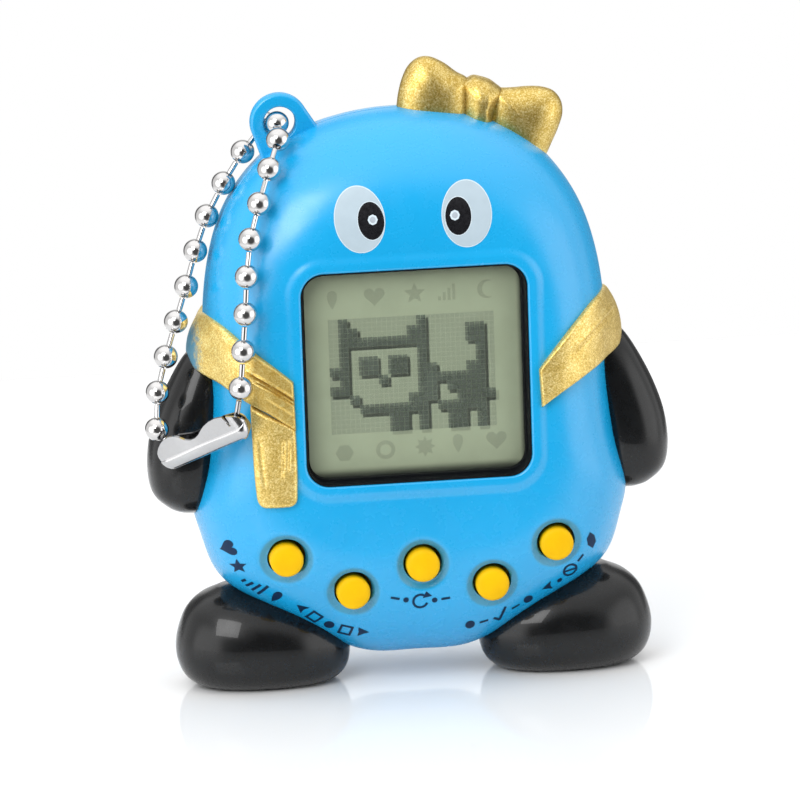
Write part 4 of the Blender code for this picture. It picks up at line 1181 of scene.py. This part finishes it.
# ---------------------------------------------------------------- bead chain
def chain_spline(knots, per=24):
    p = [np.array(k, float) for k in knots]
    p = [2 * p[0] - p[1]] + p + [2 * p[-1] - p[-2]]
    out = []
    for i in range(1, len(p) - 2):
        for j in range(per):
            t = j / per
            out.append(0.5 * (2 * p[i] + (p[i + 1] - p[i - 1]) * t + (2 * p[i - 1] - 5 * p[i] + 4 * p[i + 1] - p[i + 2]) * t * t + (3 * p[i] - p[i - 1] - 3 * p[i + 1] + p[i + 2]) * t**3))
    out.append(p[-2])
    return out


def strand(knots, count, pitch=3.85):
    path = chain_spline(knots)
    step = path[-1] - path[-2]
    step /= np.linalg.norm(step)
    path += [path[-1] + step * 0.2 * k for k in range(1, 60)]
    beads, last = [path[0]], path[0]
    for a, b in zip(path, path[1:]):
        while np.linalg.norm(b - last) >= pitch and len(beads) < count:
            da, db = np.linalg.norm(a - last), np.linalg.norm(b - last)
            t = (pitch - da) / (db - da) if db > da else 1.0
            last = a + (b - a) * min(1.0, max(0.0, t))
            beads.append(last)
        if len(beads) == count:
            break
    return beads


BEAD_R, PIN_R = 1.25, 0.29
FRONT_STRAND = ((-12.65, -0.6, 60.0), (-12.95, -4.3, 58.95), (-14.3, -7.0, 56.2), (-16.8, -9.9, 49.4), (-17.7, -11.5, 42.0), (-18.55, -12.3, 34.4))
SIDE_STRAND = ((-13.5, 3.2, 59.3), (-16.1, 2.2, 56.6), (-20.3, 0.6, 50.2), (-23.0, -1.6, 43.0), (-25.5, -3.9, 36.5), (-26.6, -5.3, 33.1), (-26.9, -6.4, 29.7))
front_beads, side_beads = strand(FRONT_STRAND, 9), strand(SIDE_STRAND, 10)


def bead(name, centre, above, below):
    """A hollow ball with a hole at each end and half of the pin to the ball above."""
    centre = np.array(centre, float)
    up = np.array(above, float) - centre if above is not None else None
    down = centre - np.array(below, float) if below is not None else None
    axis = (up if up is not None else down).copy()
    axis /= np.linalg.norm(axis)
    if up is not None and down is not None:
        axis = up / np.linalg.norm(up) + down / np.linalg.norm(down)
        axis /= np.linalg.norm(axis)
    hole = 0.44
    profile = []
    start = math.asin(hole / BEAD_R)
    profile.append((-math.cos(start) * BEAD_R + 0.42, 0.02))
    profile.append((-math.cos(start) * BEAD_R + 0.40, hole - 0.08))
    profile.append((-math.cos(start) * BEAD_R + 0.10, hole - 0.05))
    for t in np.linspace(start, math.pi - start, 26):
        profile.append((-BEAD_R * math.cos(t), BEAD_R * math.sin(t)))
    profile.append((math.cos(start) * BEAD_R - 0.10, hole - 0.05))
    profile.append((math.cos(start) * BEAD_R - 0.40, hole - 0.08))
    profile.append((math.cos(start) * BEAD_R - 0.42, 0.02))
    parts = [lathe(name + "_ball", profile, 40, axis=axis, centre=centre, sharp=40)]
    if up is not None:
        reach = float(np.linalg.norm(up))
        tip = reach - BEAD_R - 0.06
        parts.append(lathe(name + "_pin", [(BEAD_R - 0.5, PIN_R * 0.6), (BEAD_R - 0.42, PIN_R), (tip - 0.05, PIN_R), (tip, PIN_R * 0.8)], 20, axis=up, centre=centre, sharp=50))
    if len(parts) == 1:
        parts[0].name = name
        return parts[0]
    return joined(name, parts, 40)


def chain_body(k):
    return "chain_top" if k < 2 else "chain_row_%d" % k


for k in range(9):
    obj = bead("front_bead_%d" % k, front_beads[k], front_beads[k - 1] if k else None, front_beads[k + 1] if k < 8 else None)
    piece(obj, CHROME, chain_body(k), ["chain_front_bead_%d" % k])
for k in range(10):
    above = side_beads[k - 1] if k else front_beads[0]
    obj = bead("side_bead_%d" % k, side_beads[k], above, side_beads[k + 1] if k < 9 else None)
    piece(obj, CHROME, chain_body(k) if k < 9 else "chain_end", ["chain_side_bead_%d" % k])

# the connector: a sheet folded into a channel, open along the top, with a ball of each strand held inside
low_end = side_beads[-1] + np.array((0.45, -0.35, -3.3))
high_end = front_beads[-1] + np.array((-0.35, 0.1, -3.5))
c_len = float(np.linalg.norm(high_end - low_end))
c_along = (high_end - low_end) / c_len
c_up = np.cross(c_along, (0.0, -1.0, 0.0))
c_up = c_up / np.linalg.norm(c_up)
c_up = c_up if c_up[2] > 0 else -c_up
c_out = np.cross(c_along, c_up)
c_out = c_out if c_out[1] < 0 else -c_out
TOP_EDGE = ((0.02, 0.0), (0.15, 0.6), (0.5, 1.15), (1.0, 1.6), (1.6, 1.98), (2.2, 2.18), (2.8, 2.2), (3.4, 2.05), (3.9, 1.6), (4.3, 1.08), (4.8, 0.80), (5.4, 0.76), (6.0, 0.92), (6.6, 1.25), (7.2, 1.52), (8.0, 1.70), (8.8, 1.72), (9.4, 1.58), (9.70, 1.5), (9.76, 0.25), (10.06, 0.2), (10.12, 1.36), (10.8, 0.98), (11.15, 0.55), (11.38, 0.0))
BACK_EDGE = ((0.02, 0.0), (0.3, 0.3), (1.0, 0.9), (2.0, 1.45), (3.0, 1.5), (3.8, 1.25), (4.6, 1.0), (5.4, 0.92), (6.2, 0.98), (7.0, 1.05), (8.0, 1.1), (9.0, 1.05), (10.2, 0.8), (10.9, 0.4), (11.38, -0.1))


def connector_sheet(inset):
    us = np.unique(np.concatenate([np.linspace(0.03, 1.4, 18), np.linspace(1.4, 9.9, 70), np.linspace(9.7, 10.5, 20), np.linspace(10.4, 11.37, 14)]))
    rows = []
    for u in us:
        d = min(u - 0.0, 11.4 - u)
        end = math.sqrt(max(0.0, 1 - (1 - min(d, 1.15) / 1.15) ** 2))
        w = (1.16 - 0.16 * math.exp(-((u - 5.6) / 2.2) ** 2) - inset) * (0.16 + 0.84 * end)
        low = -1.22 - 0.062 * u
        low = low * end + 0.05 * (1 - end) + inset
        top = float(np.interp(u, *np.array(TOP_EDGE).T)) - 0.0
        rear = float(np.interp(u, *np.array(BACK_EDGE).T))
        crease = min(0.22 - 0.06 * u, top - 0.25)
        crease = crease * end + 0.02 * (1 - end)
        middle = (crease + low) / 2
        sec = [(v, w * 0.80) for v in np.linspace(top, crease + 0.12, 7)]
        sec += [(crease + 0.05, w * 0.80), (crease, w * 0.82)]
        for t in np.linspace(20, 160, 19):
            t = math.radians(t)
            sec.append((middle + (crease - middle) * math.cos(t) / math.cos(math.radians(20)) if t < math.pi / 2 else low + (middle - low) * (1 - math.sin(t - math.pi / 2) / math.sin(math.radians(70))), w * math.cos((t - math.radians(20)) * 0.62 - 0.45)))
        for v in np.linspace(low + 0.25, rear, 8):
            sec.append((v, -w * 0.80))
        rows.append([low_end + c_along * u + c_up * v + c_out * (ww - (inset * 0.6 if ww > 0 else -inset * 0.6)) for v, ww in sec])
    return np.array(rows)


shell_outer, shell_inner = connector_sheet(0.0), connector_sheet(0.2)
channel = sheet_solid("connector_channel", shell_outer, shell_inner, 35)
held = []
for name, last, (u, v) in (("left", side_beads[-1], (1.9, 0.75)), ("right", front_beads[-1], (9.75, -0.35))):
    ball = low_end + c_along * u + c_up * v
    reach_up = last - ball
    far = float(np.linalg.norm(reach_up))
    held.append(lathe("held_ball_" + name, [(-0.78 * math.cos(t), 0.78 * math.sin(t)) for t in np.linspace(0.05, math.pi - 0.05, 20)], 28, axis=reach_up, centre=ball))
    held.append(lathe("held_pin_" + name, [(0.7, PIN_R), (far - BEAD_R - 0.12, PIN_R), (far - BEAD_R - 0.07, PIN_R * 0.8)], 20, axis=reach_up, centre=ball, sharp=50))
channel = joined("connector_skin", [channel] + held, 35)
piece(channel, NICKEL, "chain_end", ["chain_connector"])


# ---------------------------------------------------------------- display
lens = frame["nodes"]["display_window"]
lens.data.materials.clear()
lens.data.materials.append(clear_lens())

LCD_Y = -8.28
FILM = mottled("polariser_sheet", (0.336, 0.383, 0.272), (0.40, 0.50), 0.3, 0.04, 0.05)
film = []
for grow, y in ((-0.35, LCD_Y), (0.06, LCD_Y), (0.12, LCD_Y + 0.04), (0.12, LCD_Y + 0.22), (0.06, LCD_Y + 0.26), (-0.35, LCD_Y + 0.26)):
    loop = window_loop(grow, 120)
    film.append(np.stack([loop[:, 0], np.full(120, y), loop[:, 1]], -1))
film_faces = [list(f) for f in grid_faces(len(film), 120)]
film_faces += [list(range(120))[::-1], list(range(5 * 120, 6 * 120))]
sheet = link("lcd_film", np.vstack(film), film_faces, 30)
outward = bmesh.new()
outward.from_mesh(sheet.data)
bmesh.ops.recalc_face_normals(outward, faces=outward.faces)
outward.to_mesh(sheet.data)
outward.free()
piece(sheet, FILM, "case", ["lcd_front_polariser"])
DOT_PITCH, DOT_SIZE = 0.51, 0.475
DOTS_CENTRE = (-0.22, 34.33)
SPRITE = (
    ".X.......X.......",
    ".XX.....XX....XX.",
    ".XXXXXXXXX....XX.",
    ".X.......X.....X.",
    ".X.XX.XX.X.....X.",
    "XX.XX.XX.XX...XX.",
    ".X...X...XXXXXXX.",
    "XX.......XX.XXXX.",
    "..X.....XXX..XXXX",
    "...XXXXXXX.XXXXX.",
    "......XX.X..XX.X.",
    "......XX.X..XX.X.",
)


def lcd_material(name, colour, bleed):
    """Dark segments of a display: a film whose opacity changes a little over it."""
    m = bpy.data.materials.new(name)
    m.use_nodes = True
    t = m.node_tree
    shader = t.nodes["Principled BSDF"]
    coords = t.nodes.new("ShaderNodeTexCoord")
    noise = t.nodes.new("ShaderNodeTexNoise")
    noise.inputs["Scale"].default_value = 300.0
    noise.inputs["Detail"].default_value = 3.0
    t.links.new(coords.outputs["Object"], noise.inputs["Vector"])
    tone = t.nodes.new("ShaderNodeValToRGB")
    tone.color_ramp.elements[0].position = 0.3
    tone.color_ramp.elements[1].position = 0.7
    tone.color_ramp.elements[0].color = (*(c * 0.92 for c in colour), 1)
    tone.color_ramp.elements[1].color = (*(c * 1.08 for c in colour), 1)
    t.links.new(noise.outputs["Fac"], tone.inputs["Fac"])
    t.links.new(tone.outputs["Color"], shader.inputs["Base Color"])
    opacity = t.nodes.new("ShaderNodeMapRange")
    opacity.inputs["From Min"].default_value = 0.3
    opacity.inputs["From Max"].default_value = 0.7
    opacity.inputs["To Min"].default_value = bleed * 0.9
    opacity.inputs["To Max"].default_value = min(1.0, bleed * 1.1)
    t.links.new(noise.outputs["Fac"], opacity.inputs["Value"])
    t.links.new(opacity.outputs["Result"], shader.inputs["Alpha"])
    shader.inputs["Roughness"].default_value = 0.5
    return m


def flat_shapes(name, shapes, y, material):
    """Flat polygons in X and Z at one depth, facing -Y."""
    points, faces = [], []
    for shape in shapes:
        start = len(points)
        area = sum(a[0] * b[1] - b[0] * a[1] for a, b in zip(shape, shape[1:] + shape[:1]))
        shape = shape if area > 0 else shape[::-1]
        points += [(x, y, z) for x, z in shape]
        faces.append(list(range(start, start + len(shape))))
    return piece(link(name, points, faces, None), material, "case")


def dot_square(col, row, size=DOT_SIZE, dx=0.0, dz=0.0):
    x = DOTS_CENTRE[0] + (col - 16.5) * DOT_PITCH + dx
    z = DOTS_CENTRE[1] + (11.5 - row) * DOT_PITCH + dz
    h = size / 2
    return [(x - h, z - h), (x + h, z - h), (x + h, z + h), (x - h, z + h)]


lit = [(c, r) for r in range(24) for c in range(34) if SPRITE[r // 2][c // 2] == "X"]
dark = [(c, r) for r in range(24) for c in range(34) if SPRITE[r // 2][c // 2] != "X"]
flat_shapes("lcd_dots_on", [dot_square(c, r) for c, r in lit], LCD_Y - 0.05, lcd_material("lcd_dot_on", (0.118, 0.145, 0.118), 0.62))
flat_shapes("lcd_dots_shadow", [dot_square(c, r, 0.53, 0.30, -0.36) for c, r in lit], LCD_Y - 0.02, lcd_material("lcd_dot_shadow", (0.17, 0.195, 0.16), 0.16))
flat_shapes("lcd_dots_off", [dot_square(c, r) for c, r in dark], LCD_Y - 0.04, lcd_material("lcd_dot_off", (0.22, 0.25, 0.22), 0.16))


def ngon(cx, cz, r, n, turn=0.0, squash=1.0):
    return [(cx + r * math.cos(turn + 2 * math.pi * k / n), cz + r * squash * math.sin(turn + 2 * math.pi * k / n)) for k in range(n)]


def star(cx, cz, r, n=5, inner=0.45):
    return [(cx + (r if k % 2 == 0 else r * inner) * math.sin(math.pi * k / n), cz + (r if k % 2 == 0 else r * inner) * math.cos(math.pi * k / n)) for k in range(2 * n)]


def heart(cx, cz, r):
    out = []
    for k in range(28):
        t = 2 * math.pi * k / 28
        out.append((cx + r * 0.062 * 16 * math.sin(t) ** 3, cz + r * 0.062 * (13 * math.cos(t) - 5 * math.cos(2 * t) - 2 * math.cos(3 * t) - math.cos(4 * t) + 2)))
    return out


def drop(cx, cz, r):
    return [(cx + r * 0.72 * math.sin(t) * math.sin(t / 2) ** 1.2, cz - r * math.cos(t)) for t in np.linspace(0, 2 * math.pi, 29)[:-1]][::-1]


def bars(cx, cz, w, h, n):
    step = w / n
    return [[(cx - w / 2 + step * k, cz - h / 2), (cx - w / 2 + step * k + step * 0.6, cz - h / 2), (cx - w / 2 + step * k + step * 0.6, cz - h / 2 + h * (k + 1) / n), (cx - w / 2 + step * k, cz - h / 2 + h * (k + 1) / n)] for k in range(n)]


def ringlet(cx, cz, r, wide, start=0.0, end=360.0, n=24):
    """A ring or an arc of a ring, as quads."""
    out = []
    for k in range(n):
        a, b = (math.radians(start + (end - start) * (k + j) / n) for j in (0, 1))
        out.append([(cx + (r - wide / 2) * math.cos(a), cz + (r - wide / 2) * math.sin(a)), (cx + (r + wide / 2) * math.cos(a), cz + (r + wide / 2) * math.sin(a)), (cx + (r + wide / 2) * math.cos(b), cz + (r + wide / 2) * math.sin(b)), (cx + (r - wide / 2) * math.cos(b), cz + (r - wide / 2) * math.sin(b))])
    return out


def crescent(cx, cz, r):
    outer = [(cx + r * math.cos(t), cz + r * math.sin(t)) for t in np.linspace(math.radians(60), math.radians(300), 18)]
    inner = [(cx + r * 0.35 + r * 0.85 * math.cos(t), cz + r * 0.85 * math.sin(t)) for t in np.linspace(math.radians(280), math.radians(80), 14)]
    return outer + inner


# faint marks above and below the dots, as unlit segments show
top_marks = [[drop(-8.35, 42.5, 1.0)], [heart(-3.95, 42.6, 1.1)], [star(0.25, 42.75, 1.15)], bars(3.7, 42.7, 2.0, 1.7, 4), [crescent(7.8, 42.8, 1.0)]]
low_marks = [[ngon(-7.6, 26.2, 0.95, 6)], ringlet(-3.3, 26.3, 0.8, 0.42), [star(0.85, 26.4, 1.1, 8, 0.6)], [drop(4.3, 26.5, 1.0)], [heart(8.35, 26.6, 1.1)]]
flat_shapes("lcd_marks_off", [shape for mark in top_marks + low_marks for shape in mark], LCD_Y - 0.04, lcd_material("lcd_mark_off", (0.18, 0.21, 0.17), 0.13))

# the display darkens towards the right and the bottom of the opening
edge_shade = bpy.data.materials.new("lcd_edge_shade")
edge_shade.use_nodes = True


def shade_nodes(material):
    t = material.node_tree
    shader = t.nodes["Principled BSDF"]
    shader.inputs["Base Color"].default_value = (0.012, 0.016, 0.014, 1)
    shader.inputs["Roughness"].default_value = 0.5
    split = t.nodes.new("ShaderNodeSeparateXYZ")
    t.links.new(t.nodes.new("ShaderNodeTexCoord").outputs["Object"], split.inputs[0])
    total = None
    for axis, none, full, amount in ((0, 10.75, 11.6, 0.85), (2, 24.7, 23.35, 0.92), (2, 44.4, 45.6, 0.30), (0, -11.2, -11.7, 0.35)):
        m = t.nodes.new("ShaderNodeMapRange")
        m.interpolation_type = "SMOOTHSTEP"
        m.inputs["From Min"].default_value = none * MM
        m.inputs["From Max"].default_value = full * MM
        m.inputs["To Max"].default_value = amount
        t.links.new(split.outputs[axis], m.inputs["Value"])
        if total is None:
            total = m.outputs["Result"]
        else:
            both = t.nodes.new("ShaderNodeMath")
            both.operation = "MAXIMUM"
            t.links.new(total, both.inputs[0])
            t.links.new(m.outputs["Result"], both.inputs[1])
            total = both.outputs[0]
    t.links.new(total, shader.inputs["Alpha"])


shade_nodes(edge_shade)
flat_shapes("lcd_edge_shading", [[(-11.8, 23.2), (11.8, 23.2), (11.8, 45.8), (-11.8, 45.8)]], LCD_Y - 0.06, edge_shade)

# the black lining of the opening, between the case and the display
lining = []
for grow, y in ((-0.02, -10.35), (-0.16, -10.30), (-0.20, -10.1), (-0.24, LCD_Y - 0.09), (-0.5, LCD_Y - 0.02)):
    loop = window_loop(grow, 240)
    lining.append(np.stack([loop[:, 0], np.full(240, y), loop[:, 1]], -1))
liner = link("window_lining", np.vstack(lining), grid_faces(len(lining), 240), 40)
piece(liner, DEEP_BLACK, "case")


# ---------------------------------------------------------------- printed marks under the buttons
def print_strip(points, wide, loops):
    """A line of the given width as quads, resampled finely so that it follows the case."""
    p = np.asarray(points, float)
    length = np.append(0, np.cumsum(np.linalg.norm(np.diff(p, axis=0), axis=1)))
    count = max(2, int(length[-1] / 0.12) + 1)
    want = np.linspace(0, length[-1], count)
    q = np.stack([np.interp(want, length, p[:, k]) for k in range(2)], -1)
    tangent = np.gradient(q, axis=0)
    tangent /= np.maximum(np.linalg.norm(tangent, axis=1, keepdims=True), 1e-9)
    side = np.stack([-tangent[:, 1], tangent[:, 0]], -1) * wide / 2
    loops.append(("strip", q - side, q + side))


def print_blob(points, loops):
    loops.append(("blob", np.asarray(points, float), None))


def arrow_head(sign, size=0.55):
    return [(sign * size, 0.0), (-sign * size * 0.7, size * 0.9), (-sign * size * 0.7, -size * 0.9)]


def glyph(kind):
    g = []
    if kind == "heart":
        print_blob(heart(0, -0.05, 0.72), g)
    elif kind == "drop":
        print_blob(drop(0, 0, 0.68), g)
    elif kind == "star":
        print_blob(star(0, 0, 0.72), g)
    elif kind == "leaf":
        print_blob([(-0.62, -0.5), (-0.5, 0.15), (0.0, 0.58), (0.62, 0.62), (0.5, 0.05), (0.05, -0.42)], g)
    elif kind == "left":
        print_blob(arrow_head(-1), g)
    elif kind == "right":
        print_blob(arrow_head(1), g)
    elif kind == "dot":
        print_blob(ngon(0, 0, 0.24, 14), g)
    elif kind == "big_dot":
        print_blob(ngon(0, 0, 0.42, 18), g)
    elif kind == "square":
        print_strip([(-0.45, -0.45), (0.45, -0.45)], 0.2, g)
        print_strip([(-0.45, 0.45), (0.45, 0.45)], 0.2, g)
        print_strip([(-0.45, -0.55), (-0.45, 0.55)], 0.2, g)
        print_strip([(0.45, -0.55), (0.45, 0.55)], 0.2, g)
    elif kind == "turn":
        print_strip([(0.6 * math.cos(t), 0.6 * math.sin(t)) for t in np.linspace(math.radians(60), math.radians(345), 28)], 0.2, g)
        print_blob([(0.42, 0.92), (0.95, 0.5), (0.18, 0.28)], g)
    elif kind == "tick":
        print_strip([(-0.62, 0.0), (-0.18, -0.52)], 0.24, g)
        print_strip([(-0.24, -0.52), (0.66, 0.62)], 0.24, g)
    elif kind == "no_entry":
        print_strip([(0.58 * math.cos(t), 0.58 * math.sin(t)) for t in np.linspace(0, 2 * math.pi, 32)], 0.2, g)
        print_strip([(-0.4, 0.4), (0.4, -0.4)], 0.2, g)
    elif kind.startswith("bar"):
        h = float(kind[3:]) / 10
        print_strip([(0, -0.6), (0, -0.6 + h)], 0.26, g)
    elif kind == "dash":
        print_strip([(-0.38, 0), (0.38, 0)], 0.2, g)
    return g


LABELS = {
    "outer_left": (((-20.01, 16.35), (-19.06, 14.4), (-17.64, 12.41), (-16.3, 11.32), (-14.97, 10.62)), (("heart", 0.0), ("star", 0.28), ("bar4", 0.50), ("bar7", 0.59), ("bar10", 0.68), ("bar13", 0.77), ("drop", 0.97))),
    "inner_left": (((-12.72, 9.57), (-10.82, 7.99), (-9.06, 7.01), (-7.52, 6.56), (-6.0, 6.48)), (("left", 0.03), ("square", 0.26), ("big_dot", 0.5), ("square", 0.74), ("right", 0.97))),
    "centre": (((-3.21, 10.66), (-1.73, 10.32), (-0.26, 10.09), (1.22, 10.11), (2.59, 10.25)), (("dash", 0.04), ("dot", 0.24), ("turn", 0.5), ("dot", 0.76), ("dash", 0.96))),
    "inner_right": (((4.86, 6.64), (6.7, 6.89), (8.33, 7.38), (9.96, 8.12), (11.58, 8.98)), (("big_dot", 0.03), ("dash", 0.24), ("tick", 0.5), ("dash", 0.76), ("big_dot", 0.97))),
    "outer_right": (((13.18, 10.01), (14.83, 10.7), (16.06, 12.07), (17.42, 13.84), (18.52, 15.62)), (("left", 0.04), ("dot", 0.22), ("no_entry", 0.42), ("dash", 0.64), ("leaf", 0.92))),
}
for label, (arc, marks) in LABELS.items():
    path = curve(arc, 200)
    points, faces = [], []
    for kind, share in marks:
        k = int(round(share * 199))
        at = path[k]
        a, b = path[max(0, k - 8)], path[min(199, k + 8)]
        t = (b - a) / np.linalg.norm(b - a)
        n = np.array([-t[1], t[0]])
        for form, first, second in glyph(kind):
            place = lambda q: at + q[:, :1] * t * 1.25 + q[:, 1:] * n * 1.25
            start = len(points)
            if form == "strip":
                lo, hi = place(first), place(second)
                rows = len(lo)
                points += [tuple(v) for pair in zip(lo, hi) for v in pair]
                for i in range(rows - 1):
                    faces.append([start + 2 * i, start + 2 * i + 2, start + 2 * i + 3, start + 2 * i + 1])
            else:
                rim = place(first)
                centre = rim.mean(axis=0)
                m = len(rim)
                points.append(tuple(centre))
                for share_out in (0.5, 1.0):
                    points += [tuple(centre + (q - centre) * share_out) for q in rim]
                for i in range(m):
                    j = (i + 1) % m
                    faces.append([start, start + 1 + i, start + 1 + j])
                    faces.append([start + 1 + i, start + 1 + m + i, start + 1 + m + j, start + 1 + j])
    flat = np.array(points)
    decal("mark_" + label, flat[:, 0], flat[:, 1], 0.035, faces, INK_NAVY)


# ---------------------------------------------------------------- floor, lights, camera
floor_mesh = bpy.data.meshes.new("floor")
floor_mesh.from_pydata([(-0.22, -0.064, 0), (0.22, -0.064, 0), (0.22, 0.15, 0), (-0.22, 0.15, 0)], [], [[0, 1, 2, 3]])
floor = bpy.data.objects.new("floor", floor_mesh)
bpy.context.scene.collection.objects.link(floor)
f = Nodes("pale_floor", Base_Color=(0.90, 0.905, 0.91), IOR=1.45)
f.roughness(f.spread(f.noise(0.02, 2.0), 0.05, 0.08, 0.3, 0.7))
# the floor melts into the white room away from the toy
away = f.node("ShaderNodeVectorMath", operation="DISTANCE")
f.link(f.object_coords(), away.inputs[0])
away.inputs[1].default_value = (0.0, 0.035, 0.0)
f.link(f.spread(away.outputs["Value"], 1.0, 0.0, 0.098, 0.148), f.shader.inputs["Alpha"])
floor_mesh.materials.append(f.material)

scene = bpy.context.scene
scene.view_settings.view_transform = "Standard"


def studio():
    """White all round, with a dark room seen through the open front of the tent and dark flags behind at the sides."""
    sky = bpy.data.worlds.new("studio")
    scene.world = sky
    sky.use_nodes = True
    t = sky.node_tree
    background = t.nodes["Background"]

    def node(kind, **props):
        n = t.nodes.new(kind)
        for key, value in props.items():
            setattr(n, key, value)
        return n

    def calc(operation, a, b):
        n = node("ShaderNodeMath", operation=operation)
        for s, value in zip(n.inputs, (a, b)):
            if isinstance(value, (int, float)):
                s.default_value = value
            else:
                t.links.new(value, s)
        return n.outputs[0]

    coords = node("ShaderNodeTexCoord").outputs["Generated"]

    def patch(direction, inner, outer):
        """1 within inner degrees of a direction, 0 beyond outer degrees."""
        dot = node("ShaderNodeVectorMath", operation="DOT_PRODUCT")
        t.links.new(coords, dot.inputs[0])
        dot.inputs[1].default_value = Vector(direction).normalized()
        m = node("ShaderNodeMapRange", interpolation_type="SMOOTHSTEP")
        m.inputs["From Min"].default_value = math.cos(math.radians(outer))
        m.inputs["From Max"].default_value = math.cos(math.radians(inner))
        t.links.new(dot.outputs["Value"], m.inputs["Value"])
        return m.outputs["Result"]

    front = patch((0.0, -1.0, 0.0), 22, 46)
    left_box = patch((-0.88, -0.47, 0.05), 16, 34)
    right_box = patch((0.88, -0.47, 0.05), 16, 34)
    behind = patch((0.11, 0.967, 0.0), 44, 62)
    clear = patch((0.11, 0.967, 0.21), 12, 24)
    zenith = patch((0.0, 0.1, 1.0), 20, 62)
    ring = calc("MULTIPLY", behind, calc("SUBTRACT", 1.0, clear))
    level = calc("SUBTRACT", calc("SUBTRACT", 1.0, calc("MULTIPLY", front, 0.90)), calc("MULTIPLY", ring, 0.82))
    level = calc("ADD", level, calc("MULTIPLY", zenith, 0.62))
    level = calc("ADD", calc("ADD", level, calc("MULTIPLY", left_box, 1.3)), calc("MULTIPLY", right_box, 1.1))
    level = calc("MAXIMUM", level, 0.06)
    seen = node("ShaderNodeLightPath").outputs["Is Camera Ray"]
    t.links.new(calc("MAXIMUM", level, seen), background.inputs["Strength"])
    background.inputs["Color"].default_value = (1, 1, 1, 1)


studio()


def area_light(name, at, size, power, aim=(0, 0, 0.032), shape="SQUARE", size_y=None):
    data = bpy.data.lights.new(name, "AREA")
    data.shape = "RECTANGLE" if size_y else shape
    data.size = size
    if size_y:
        data.size_y = size_y
    data.energy = power
    obj = bpy.data.objects.new(name, data)
    scene.collection.objects.link(obj)
    obj.location = at
    obj.rotation_mode = "QUATERNION"
    obj.rotation_quaternion = (Vector(aim) - Vector(at)).to_track_quat("-Z", "Y")
    return obj


area_light("key", (-0.27, -0.42, 0.36), 0.30, 1.7)

yaw, pitch, roll = math.radians(6.5), math.radians(13.2), math.radians(1.92)
right_axis = Vector((math.cos(yaw), -math.sin(yaw), 0))
up_axis = Vector((math.sin(yaw) * math.sin(pitch), math.cos(yaw) * math.sin(pitch), math.cos(pitch)))
back_axis = Vector((-math.sin(yaw) * math.cos(pitch), -math.cos(yaw) * math.cos(pitch), math.sin(pitch)))
target = Vector((0, PARTING_Y, 32.0))
eye = (target + back_axis * 700.9 + right_axis * -0.676 + up_axis * -2.405) * MM
cam_x = right_axis * math.cos(roll) - up_axis * math.sin(roll)
cam_y = right_axis * math.sin(roll) + up_axis * math.cos(roll)
camera_data = bpy.data.cameras.new("camera")
camera_data.sensor_width = 36.0
camera_data.lens = 300.0
camera_data.clip_start = 0.01
camera = bpy.data.objects.new("camera", camera_data)
scene.collection.objects.link(camera)
m = Matrix((cam_x, cam_y, back_axis)).transposed().to_4x4()
m.translation = eye
camera.matrix_world = m
scene.camera = camera
